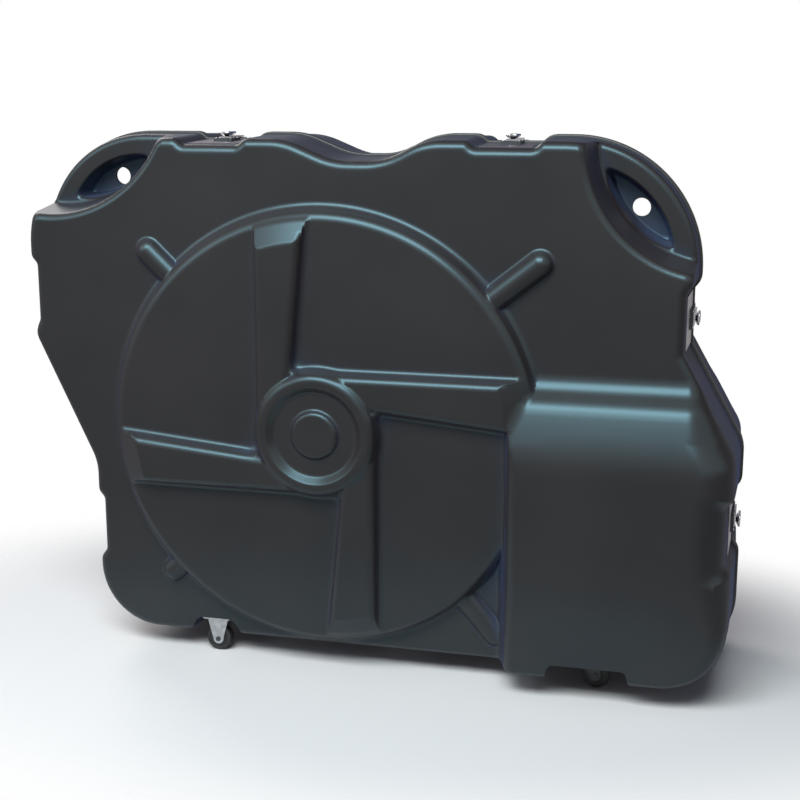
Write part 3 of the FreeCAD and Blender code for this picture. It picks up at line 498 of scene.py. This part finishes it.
def embossed(tree, height, strength, depth):
    """Fine relief from a pattern, depth metres high at full strength."""
    made = add_node(tree, "ShaderNodeBump", [("Height", height)], Strength=strength, Distance=depth)
    return made.outputs["Normal"]


def lead(tree, shader, colour=None, gloss=None, normal=None):
    """Leads a finish's colour, roughness and relief to its shader."""
    for socket, source in (("Base Color", colour), ("Roughness", gloss), ("Normal", normal)):
        if source is not None:
            tree.links.new(source, shader.inputs[socket])


# Drawn black ABS gives the eye a satin skin whose edges catch a cool sheen, and its colour
# goes navy in folds where ambient occlusion finds it closed in: painted shade. Its mould
# grain is 0.6 mm in fact, and drawn at 1.6 mm so that it shows.
abs_skin, tree, shader, place = new_material("drawn_abs_charcoal")
SKIN_GRAIN, SKIN_CLOUD, SKIN_RELIEF, FOLD_REACH = 1.6 * MM, 180 * MM, 0.2 * MM, 45 * MM
GRAZE_POWER, GRAZE_ROUGH = 3.0, 0.45
cloud = noise(tree, place, SKIN_CLOUD, 4.0)
tone = two_tone(tree, cloud, "#251f1d", "#2b2422", (0.3, 0.7))
facing = add_node(tree, "ShaderNodeLayerWeight", Blend=0.5).outputs["Facing"]
graze = add_node(tree, "ShaderNodeMath", [(0, facing)], operation="POWER")
graze.inputs[1].default_value = GRAZE_POWER
satin = ranged(tree, cloud, wanted=(0.28, 0.36))
rough = add_node(tree, "ShaderNodeMath", [(0, graze.outputs["Value"]), (2, satin)], operation="MULTIPLY_ADD")
rough.inputs[1].default_value = GRAZE_ROUGH
# Painted shade: where the ambient occlusion finds the skin closed in, its colour goes over to navy.
open_sky = add_node(tree, "ShaderNodeAmbientOcclusion", Distance=FOLD_REACH, samples=8).outputs["AO"]
painted_fold_shade = ranged(tree, open_sky, (0.35, 0.8), (1.0, 0.0))
grain = embossed(tree, noise(tree, place, SKIN_GRAIN, 2.0), 0.06, SKIN_RELIEF)
# The base colour carries the navy painted shade in the folds.
lead(tree, shader, tinted(tree, painted_fold_shade, tone, "#353c50"), rough.outputs["Value"], grain)
shader.inputs["IOR"].default_value = 1.5
shader.inputs["Specular Tint"].default_value = linear("#b8eeff")
shader.inputs["Sheen Weight"].default_value = 0.15
shader.inputs["Sheen Roughness"].default_value = 0.3
shader.inputs["Sheen Tint"].default_value = linear("#1a3a9c")

shell_sheet = sheet_faces(shell_faces, len(outer))
for name, body, node, side in (
    ("shell_front", "front_half", "front_shell", 1),
    ("shell_rear", "rear_half", "rear_shell", -1),
):
    turn = np.array((1, side, 1))
    points = np.concatenate((outer, inner)) * turn
    way = np.concatenate((normals, -normals)) * turn
    shell = new_piece(name, points, [f[::side] for f in shell_sheet], abs_skin)
    shell.data.normals_split_custom_set_from_vertices(way.tolist())
    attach(shell, body)
    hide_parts(node)

# Rims: black extruded edging pressed over the cut edge of each shell, standing 4 mm
# proud with rounded corners; the rear one has a groove that holds the seal. The
# plastic gives the eye an even black line with a soft shine.
black_edging, tree, shader, place = new_material("extruded_abs_black")
EDGING_GRAIN, EDGING_RELIEF = 4.0 * MM, 0.2 * MM
streak = noise(tree, place, EDGING_GRAIN, 3.0)
tone = two_tone(tree, streak, "#1c1c1d", "#28292a")
lead(tree, shader, tone, None, embossed(tree, streak, 0.08, EDGING_RELIEF))
shader.inputs["Roughness"].default_value = 0.42
RIM_STEP = 5.0
rim_loop = outline_loop(case_runs, RIM_STEP)


def swept_band(section):
    """Closed section of (inset, y) points carried round the case's outline."""
    count, rows = len(section), len(rim_loop)
    points = [(x + nx * d, y, z + nz * d) for x, z, nx, nz in rim_loop for d, y in section]
    faces = []
    for i in range(rows):
        for k in range(count):
            a, b = i * count, ((i + 1) % rows) * count
            faces.append((a + k, b + k, b + (k + 1) % count, a + (k + 1) % count))
    return points, faces


PROUD, RIM_IN, HALF_GAP, RIM_ROUND, NOSE_ROUND, RIM_SHARP = -4.0, 8.0, 0.25, 2.2, 1.0, np.radians(40)
GROOVE_FLOOR = 2.75
GROOVE = ((4.5, HALF_GAP), (4.5, GROOVE_FLOOR), (0.5, GROOVE_FLOOR), (0.5, HALF_GAP))
bend = np.linspace(0, np.pi / 2, 5)
rim_section = [(PROUD + RIM_ROUND * (1 - np.cos(t)), RIM_H - RIM_ROUND * (1 - np.sin(t))) for t in bend]
rim_section += [(RIM_IN, RIM_H), (RIM_IN, HALF_GAP)]
nose = [(PROUD + NOSE_ROUND * (1 - np.sin(t)), HALF_GAP + NOSE_ROUND * (1 - np.cos(t))) for t in bend]
front_section = [(d, -y) for d, y in rim_section + nose]
rear_section = (rim_section + list(GROOVE) + nose)[::-1]
for name, body, node, section in (
    ("rim_front", "front_half", "front_rim", front_section),
    ("rim_rear", "rear_half", "rear_rim", rear_section),
):
    rim = new_piece(name, *swept_band(section), black_edging)
    rim.data.set_sharp_from_angle(angle=RIM_SHARP)
    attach(rim, body)
    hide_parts(node)

# Seal: a soft black rubber bead, extruded with a round top and pressed into the rear
# rim's groove. The rubber gives the eye a dull, dusty black without highlights.
seal_rubber, tree, shader, place = new_material("extruded_rubber_seal")
SEAL_DUST = 3.0 * MM
lead(tree, shader, two_tone(tree, noise(tree, place, SEAL_DUST, 4.0), "#161616", "#242424"))
shader.inputs["Roughness"].default_value = 0.7
SEAL_MID, SEAL_R = 2.5, 1.7
arch = np.linspace(0, np.pi, 9)
seal_section = [(SEAL_MID + SEAL_R * np.cos(t), SEAL_R - SEAL_R * np.sin(t)) for t in arch]
seal_section += [(SEAL_MID - SEAL_R, GROOVE_FLOOR), (SEAL_MID + SEAL_R, GROOVE_FLOOR)]
seal = new_piece("seal_bead", *swept_band(seal_section), seal_rubber)
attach(seal, "rear_half")
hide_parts("rim_seal")

# Liners: charcoal foam sheets glued to the inside of both faces, cut by knife with
# soft edges and slightly crowned where the glue pulls the border down. The foam gives
# the eye a matt, mottled grey with open cells.
foam_cells, tree, shader, place = new_material("open_cell_foam")
CELL, FOAM_MOTTLE, CELL_DEPTH = 3.0 * MM, 60 * MM, 1.0 * MM
cells = add_node(tree, "ShaderNodeTexVoronoi", [("Vector", place)], Scale=1 / CELL).outputs["Distance"]
tone = two_tone(tree, noise(tree, place, FOAM_MOTTLE, 5.0), "#2c2d30", "#414348")
lead(tree, shader, tone, None, embossed(tree, cells, 0.6, CELL_DEPTH))
shader.inputs["Roughness"].default_value = 0.95
shader.inputs["Sheen Weight"].default_value = 0.25
FOAM_BACK, FOAM_T, FOAM_R, FOAM_EDGE, FOAM_SAG, GLUE_LINE = 115.0, 10.0, 30.0, 5.0, 3.0, 0.2
SAG_REACH, SAG_SHARE, FOAM_STEP, FOAM_GRID, FOAM_SHARP = 40.0, 0.3, 8.0, 30.0, np.radians(50)
FOAM_RINGS, GRID_INSET = (0.0, 0.6, 2.0, FOAM_EDGE, 18.0), 25.0
foam_corners = [
    (-435.0, 78.0), (535.0, 78.0), (535.0, 396.0), (461.0, 493.0), (461.0, 606.0),
    (285.0, 780.0), (-321.0, 780.0), (-535.0, 646.0), (-535.0, 523.0), (-435.0, 311.0),
]
foam_loop = outline_loop(rounded_outline([(x, z, FOAM_R) for x, z in foam_corners]), FOAM_STEP)
foam_border = foam_loop[:, :2]


def foam_depth(d):
    """How far the foam's face lies behind its crown, d mm in from its border."""
    edge = FOAM_EDGE - np.sqrt(np.maximum(FOAM_EDGE**2 - np.maximum(FOAM_EDGE - d, 0) ** 2, 0))
    return edge + FOAM_SAG * np.exp(-d / SAG_REACH)


def border_distance(points):
    """Distance to the foam's border, and whether each point is inside it."""
    best, inside = np.full(len(points), 1e9), np.zeros(len(points), bool)
    for p, q in zip(foam_border, np.roll(foam_border, -1, 0)):
        t = np.clip(((points - p) @ (q - p)) / ((q - p) @ (q - p)), 0, 1)
        best = np.minimum(best, np.linalg.norm(points - p - t[:, None] * (q - p), axis=1))
        crosses = (p[1] > points[:, 1]) != (q[1] > points[:, 1])
        x = p[0] + (points[:, 1] - p[1]) * (q[0] - p[0]) / (q[1] - p[1] if q[1] != p[1] else 1e-9)
        inside ^= crosses & (points[:, 0] < x)
    return best, inside


grid = np.array([(x, z) for x in np.arange(-540, 541, FOAM_GRID) for z in np.arange(60, 800, FOAM_GRID)])
d, inside = border_distance(grid)
spots = [Vector(p) for ring in FOAM_RINGS for p in foam_border + foam_loop[:, 2:] * ring]
spots += [Vector(p) for p in grid[inside & (d > GRID_INSET)]]
size = len(foam_loop)
edges = [(r * size + i, r * size + (i + 1) % size) for r in range(len(FOAM_RINGS)) for i in range(size)]
made, _, faces, *_ = delaunay_2d_cdt(spots, edges, [], 0, MERGE)
flat = np.array([(p.x, p.y) for p in made])
faces = np.array(faces)
faces = faces[border_distance(flat[faces].mean(1))[1]]
d = np.where(np.arange(len(flat)) < size, 0.0, border_distance(flat)[0])
crown = np.stack((flat[:, 0], -FOAM_BACK + FOAM_T - foam_depth(d) + FOAM_SAG * SAG_SHARE, flat[:, 1]), 1)
glued = np.stack((flat[:, 0], np.full(len(flat), -FOAM_BACK + GLUE_LINE), flat[:, 1]), 1)
foam_faces = sheet_faces(faces, len(crown))
for name, body, node, side in (
    ("liner_front", "front_half", "front_foam", 1),
    ("liner_rear", "rear_half", "rear_foam", -1),
):
    points = np.concatenate((crown, glued)) * np.array((1, side, 1))
    liner = new_piece(name, points, [f[::-side] for f in foam_faces], foam_cells)
    liner.data.set_sharp_from_angle(angle=FOAM_SHARP)
    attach(liner, body)
    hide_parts(node)

# Crush post: a drawn aluminium tube that keeps the faces apart, held in two moulded
# nylon cups that are glued to the shells.


def along_y(tree, place, width, length):
    """Noise drawn out into strokes along Y, given their width and length in metres."""
    per_stroke = (1 / width, 1 / length, 1 / width)
    stretch = add_node(tree, "ShaderNodeMapping", [("Vector", place)], Scale=per_stroke)
    return noise(tree, stretch.outputs["Vector"], 1.0, 3.0)


# Drawn aluminium gives the eye a bright tube with fine lines along its length.
drawn_tube, tree, shader, place = new_material("drawn_aluminium")
DRAW_WIDTH, DRAW_LENGTH, DRAW_RELIEF = 1.2 * MM, 80 * MM, 0.1 * MM
draw_lines = along_y(tree, place, DRAW_WIDTH, DRAW_LENGTH)
gloss = ranged(tree, draw_lines, wanted=(0.28, 0.5))
lead(tree, shader, None, gloss, embossed(tree, draw_lines, 0.1, DRAW_RELIEF))
shader.inputs["Base Color"].default_value = linear("#c9cacc")
shader.inputs["Metallic"].default_value = 1.0

# Moulded nylon gives the eye a dull black with a fine spark-eroded grain.
cup_plastic, tree, shader, place = new_material("moulded_nylon_black")
CUP_GRAIN, CUP_RELIEF = 1.5 * MM, 0.2 * MM
grain = noise(tree, place, CUP_GRAIN, 2.0)
tone = two_tone(tree, grain, "#1d1d1f", "#2b2b2e")
lead(tree, shader, tone, None, embossed(tree, grain, 0.15, CUP_RELIEF))
shader.inputs["Roughness"].default_value = 0.55


def dress(names, material):
    """Gives CAD nodes that show as they are their finish."""
    for name in names:
        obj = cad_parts[name]
        obj.data.materials.clear()
        obj.data.materials.append(material)


dress(["crush_post"], drawn_tube)
dress(["crush_post_cups"], cup_plastic)

# Latches: pressed steel twist latches, chrome plated, riveted through a stainless
# plate in each recess; the wing turns on a pivot and draws the hook.

# Chrome gives the eye small hard highlights between black reflections.
chrome, tree, shader, place = new_material("chrome_plate")
CHROME_HAZE, CHROME_RELIEF = 3.0 * MM, 0.5 * MM
haze = noise(tree, place, CHROME_HAZE, 3.0)
tone, gloss = two_tone(tree, haze, "#c4c6c9", "#f2f2f3"), ranged(tree, haze, wanted=(0.08, 0.22))
lead(tree, shader, tone, gloss, embossed(tree, haze, 0.3, CHROME_RELIEF))
shader.inputs["Metallic"].default_value = 1.0

# Brushed stainless gives the eye a light strip on the sides of the case; on the faces that
# look up or to the front its colour is painted darker, painted shade by the way they face.
brushed, tree, shader, place = new_material("brushed_stainless")
STROKE_WIDTH, STROKE_LENGTH, STROKE_RELIEF = 0.8 * MM, 40 * MM, 0.1 * MM
strokes = along_y(tree, place, STROKE_WIDTH, STROKE_LENGTH)
UP_AND_FRONT = (0.0, -1.0, 1.0)
outward = place.node.outputs["Normal"]
# Painted shade: the colour is darker the more a face looks up and to the front.
facing_up_front = add_node(tree, "ShaderNodeVectorMath", [(0, outward)], operation="DOT_PRODUCT")
facing_up_front.inputs[1].default_value = UP_AND_FRONT
painted_up_front_shade = ranged(tree, facing_up_front.outputs["Value"], (0.4, 0.8))
tone = tinted(tree, painted_up_front_shade, two_tone(tree, strokes, "#b6b7ba", "#d2d3d5"), "#6d6870")
gloss = ranged(tree, strokes, wanted=(0.3, 0.55))
lead(tree, shader, tone, gloss, embossed(tree, strokes, 0.12, STROKE_RELIEF))
shader.inputs["Metallic"].default_value = 1.0
dress(["latch_plates"], brushed)
dress(["latch_rivets", "latch_strikes", "strike_rivets"], chrome)

# Black coated steel gives the eye a dark, half-dull metal, here on the latch bases.
black_steel, tree, shader, place = new_material("black_coated_steel")
COAT_GRAIN = 2.5 * MM
coat = noise(tree, place, COAT_GRAIN, 4.0)
lead(tree, shader, two_tone(tree, coat, "#202124", "#36383c"), ranged(tree, coat, wanted=(0.35, 0.55)))
dress(["latch_bases"], black_steel)

# The wing: half widths at places out from its pivot, both ends bent up, and a domed
# screw head in the middle.
LATCHES = {
    "top_right": (0, (TOP_LATCH_X[0], CASE_TOP - LATCH_SINK)),
    "top_left": (0, (TOP_LATCH_X[1], CASE_TOP - LATCH_SINK)),
    "right_low": (90, (HALF_LENGTH - LATCH_SINK, RIGHT_LATCH_Z[0])),
    "right_high": (90, (SHOULDER_X - LATCH_SINK, RIGHT_LATCH_Z[1])),
    "left_high": (-90, (LATCH_SINK - HALF_LENGTH, LEFT_LATCH_Z[0])),
    "left_low": (-90, (WAIST_X + LATCH_SINK, LEFT_LATCH_Z[1])),
}
PIVOT_Y, WING_LOW, WING_T, WING_LEN, WING_SHARP = -30.0, 7.6, 2.5, 17.0, np.radians(50)
WING_LIFT, LIFT_FROM, LIFT_RUN, LIFT_POWER, END_CROWDING = 4.5, 5.0, 9.0, 1.3, 1.3
WING_OUT = (0.0, 4.0, 6.5, 9.0, 11.5, 14.0, 16.0, 16.7, 17.0)
WING_HALF = (4.6, 4.4, 5.0, 7.2, 9.0, 9.4, 8.4, 6.6, 4.6)
SIDE_SQUARENESS, TOP_SQUARENESS, WING_ROWS, AROUND = 0.45, 0.6, 29, 16
SCREW = ((0.0, 2.2), (1.6, 2.0), (2.9, 1.3), (3.6, 0.2), (3.6, -1.0))
wing_x = np.linspace(-1, 1, WING_ROWS)
wing_x = WING_LEN * np.sign(wing_x) * (1 - (1 - abs(wing_x)) ** END_CROWDING)
half_width = np.interp(abs(wing_x), WING_OUT, WING_HALF)
lift = WING_LIFT * np.clip((abs(wing_x) - LIFT_FROM) / LIFT_RUN, 0, 1) ** LIFT_POWER
wing_points, wing_faces = [], []
turns = [2 * np.pi * k / AROUND for k in range(AROUND)]
for x, half, up in zip(wing_x, half_width, lift):
    for t in turns:
        c, s = np.cos(t), np.sin(t)
        y = half * np.sign(c) * abs(c) ** SIDE_SQUARENESS
        z = WING_LOW + up + WING_T * (0.5 + 0.5 * np.sign(s) * abs(s) ** TOP_SQUARENESS)
        wing_points.append((-y, PIVOT_Y + x, z))
for i in range(WING_ROWS - 1):
    for k in range(AROUND):
        a, b = i * AROUND, (i + 1) * AROUND
        wing_faces.append((a + k, a + (k + 1) % AROUND, b + (k + 1) % AROUND, b + k))
wing_faces += [tuple(range(AROUND))[::-1], tuple((WING_ROWS - 1) * AROUND + k for k in range(AROUND))]
base = len(wing_points)
for r, z in SCREW[1:]:
    wing_points += [(r * np.cos(t), PIVOT_Y + r * np.sin(t), WING_LOW + WING_T + z) for t in turns]
wing_points.append((0.0, PIVOT_Y, WING_LOW + WING_T + SCREW[0][1]))
for k in range(AROUND):
    wing_faces.append((base + k, base + (k + 1) % AROUND, len(wing_points) - 1))
    for ring in range(len(SCREW) - 2):
        a, b = base + ring * AROUND, base + (ring + 1) * AROUND
        wing_faces.append((a + (k + 1) % AROUND, a + k, b + k, b + (k + 1) % AROUND))
wing_faces.append(tuple(base + (len(SCREW) - 2) * AROUND + k for k in range(AROUND))[::-1])
for name, (turn, (px, pz)) in LATCHES.items():
    spin = np.array(Matrix.Rotation(np.radians(turn), 3, "Y"))
    points = np.array(wing_points) @ spin.T + np.array((px, 0.0, pz))
    wing = new_piece("wing_" + name + "_plate", points, wing_faces, chrome)
    wing.data.set_sharp_from_angle(angle=WING_SHARP)
    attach(wing, "wing_" + name)
    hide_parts("latch_wing_" + name)
    dress(["latch_hook_" + name], chrome)

# Hinges: rolled steel leaves with riveted feet under the bottom edge, zinc plated, on
# turned pins. Zinc gives the eye a pale grey metal with faint crystal patches.
zinc, tree, shader, place = new_material("zinc_plated_steel")
SPANGLE, ZINC_RUB = 6.0 * MM, 2.0 * MM
flakes = add_node(tree, "ShaderNodeTexVoronoi", [("Vector", place)], Scale=1 / SPANGLE).outputs["Color"]
rub = noise(tree, place, ZINC_RUB, 4.0)
lead(tree, shader, two_tone(tree, flakes, "#a3a6a9", "#c4c6c8"), ranged(tree, rub, wanted=(0.28, 0.5)))
shader.inputs["Metallic"].default_value = 1.0
dress(["hinge_leaves_front", "hinge_leaves_rear", "hinge_pins"], zinc)
dress(["hinge_rivets_front", "hinge_rivets_rear"], zinc)

# Casters: pressed zinc-plated forks fixed on the left, black coated ones that swivel on
# the right, all screwed under the notches, with turned axles and solid wheels.
BLACK_PARTS = ("left_axle", "right_plate", "right_fork", "right_axle")
for side in ("front", "rear"):
    dress([side + "_caster_left_fork", side + "_caster_screws"], zinc)
    dress([f"{side}_caster_{part}" for part in BLACK_PARTS], black_steel)

# Moulded rubber gives the eye a deep black wheel with a scuffed, rounded tread.
wheel_rubber, tree, shader, place = new_material("moulded_rubber_tread")
TREAD_SCUFF, TREAD_RELIEF = 4.0 * MM, 0.4 * MM
scuff = noise(tree, place, TREAD_SCUFF, 5.0)
tone = two_tone(tree, scuff, "#0f0f10", "#202021")
lead(tree, shader, tone, None, embossed(tree, scuff, 0.25, TREAD_RELIEF))
shader.inputs["Roughness"].default_value = 0.6
WHEEL_R, WHEEL_HALF, TREAD_ROUND, WHEEL_TURNS, WHEEL_SHARP = 21.0, 9.0, 3.5, 56, np.radians(45)
WHEEL_WEB = ((16.6, 9.0), (16.2, 8.6), (15.8, 7.8), (10.2, 7.6))
WHEEL_HUB = ((9.5, 8.0), (9.2, 8.8), (3.6, 9.0), (3.1, 8.6))
WHEEL_Y, WHEEL_X = {"front": -96.0, "rear": 96.0}, {"left": -259.0, "right": 364.0}
bend = np.linspace(0, np.pi / 2, 6)
drop, inset = TREAD_ROUND * (1 - np.cos(bend)), TREAD_ROUND * (1 - np.sin(bend))
half_section = [*zip(WHEEL_R - drop, WHEEL_HALF - inset), *WHEEL_WEB, *WHEEL_HUB]
wheel_section = half_section + [(r, -y) for r, y in half_section[::-1]]
count, wheel_faces = len(wheel_section), []
for k in range(WHEEL_TURNS):
    a, b = k * count, ((k + 1) % WHEEL_TURNS) * count
    wheel_faces += [(a + i, a + (i + 1) % count, b + (i + 1) % count, b + i) for i in range(count)]
for side, y_mid in WHEEL_Y.items():
    for end, x_mid in WHEEL_X.items():
        points = []
        for k in range(WHEEL_TURNS):
            t = 2 * np.pi * k / WHEEL_TURNS
            points += [(x_mid + r * np.cos(t), y_mid + y, WHEEL_R + r * np.sin(t)) for r, y in wheel_section]
        wheel = new_piece(f"{side}_{end}_roller", points, wheel_faces, wheel_rubber)
        wheel.data.set_sharp_from_angle(angle=WHEEL_SHARP)
        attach(wheel, f"{side}_{end}_wheel")
        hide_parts(f"{side}_caster_{end}_wheel")

# Studio: a pale floor that fades into the white background, three softboxes (a large
# one high in front, weaker ones on the left and behind), and a sky that is pale at the
# horizon, blue overhead and darker on the right.
FLOOR_HALF, FLOOR_REACH, FLOOR_FADE = 6, (0.95, 0.6), (0.7, 1.25)
floor_mesh = bpy.data.meshes.new("floor")
floor_corners = [(x * FLOOR_HALF, y * FLOOR_HALF, 0) for x, y in ((-1, -1), (1, -1), (1, 1), (-1, 1))]
floor_mesh.from_pydata(floor_corners, [], [(0, 1, 2, 3)])
floor = bpy.data.objects.new("floor", floor_mesh)
bpy.context.scene.collection.objects.link(floor)

# The floor gives the eye a soft shadow under the case and no edge.
pale_floor, tree, shader, place = new_material("pale_floor")
floor_mesh.materials.append(pale_floor)
shader.inputs["Base Color"].default_value = linear("#d4cfcd")
shader.inputs["Roughness"].default_value = 0.9
per_reach = (1 / FLOOR_REACH[0], 1 / FLOOR_REACH[1], 1.0)
shrink = add_node(tree, "ShaderNodeMapping", [("Vector", place)], Scale=per_reach)
away = add_node(tree, "ShaderNodeVectorMath", [("Vector", shrink.outputs["Vector"])], operation="LENGTH")
fade = ranged(tree, away.outputs["Value"], FLOOR_FADE, interpolation_type="SMOOTHSTEP")
clear = add_node(tree, "ShaderNodeBsdfTransparent")
mixed = add_node(tree, "ShaderNodeMixShader", [("Fac", fade)])
tree.links.new(shader.outputs["BSDF"], mixed.inputs[1])
tree.links.new(clear.outputs["BSDF"], mixed.inputs[2])
tree.links.new(mixed.outputs["Shader"], tree.nodes["Material Output"].inputs["Surface"])

# The white background shows to the camera, and in reflections in front of the case;
# behind it and below the horizon, reflections show the sky.
world = bpy.data.worlds.new("studio")
bpy.context.scene.world = world
world.use_nodes = True
tree = world.node_tree
compass = add_node(tree, "ShaderNodeTexCoord").outputs["Generated"]
way = add_node(tree, "ShaderNodeSeparateXYZ", [("Vector", compass)]).outputs
dome = two_tone(tree, way["Z"], "#aea8ab", "#3a4a63", (0.1, 0.5))
flag = ranged(tree, way["X"], (0.2, 0.8), (1.0, 0.65), interpolation_type="SMOOTHSTEP")
shaded = add_node(tree, "ShaderNodeVectorMath", [(0, dome), (1, flag)], operation="MULTIPLY")
ahead = ranged(tree, way["Y"], (-0.2, 0.3), (1.0, 0.0), interpolation_type="SMOOTHSTEP")
above = ranged(tree, way["Z"], (0.0, 0.2), interpolation_type="SMOOTHSTEP")


def joined(operation, a, b):
    """Two values of the world's tree joined by an operation."""
    return add_node(tree, "ShaderNodeMath", [(0, a), (1, b)], operation=operation).outputs["Value"]


ray = add_node(tree, "ShaderNodeLightPath").outputs
shine = joined("MULTIPLY", joined("MULTIPLY", ahead, above), ray["Is Glossy Ray"])
seen = joined("MAXIMUM", joined("MAXIMUM", ray["Is Camera Ray"], ray["Is Transmission Ray"]), shine)
backdrop = tinted(tree, seen, shaded.outputs["Vector"], "#ffffff")
tree.links.new(backdrop, tree.nodes["Background"].inputs["Color"])

CASE_MIDDLE = Vector((0.0, 0.0, 0.45))
for name, at, width, height, power, hue in (
    ("softbox_front", (-0.2, -2.34, 3.05), 3.0, 1.6, 198.0, "#f0fcff"),
    ("softbox_left", (-2.5, -2.0, 2.0), 1.4, 1.2, 20.0, "#f0fcff"),
    ("softbox_back", (-2.4, 2.3, 2.4), 1.8, 1.8, 60.0, "#fff6f2"),
):
    lamp = bpy.data.objects.new(name, bpy.data.lights.new(name, "AREA"))
    lamp.data.shape = "RECTANGLE"
    lamp.data.size, lamp.data.size_y = width, height
    lamp.data.energy = power
    lamp.data.color = linear(hue)[:3]
    lamp.location = at
    lamp.rotation_mode = "QUATERNION"
    lamp.rotation_quaternion = (CASE_MIDDLE - Vector(at)).to_track_quat("-Z", "Y")
    bpy.context.scene.collection.objects.link(lamp)
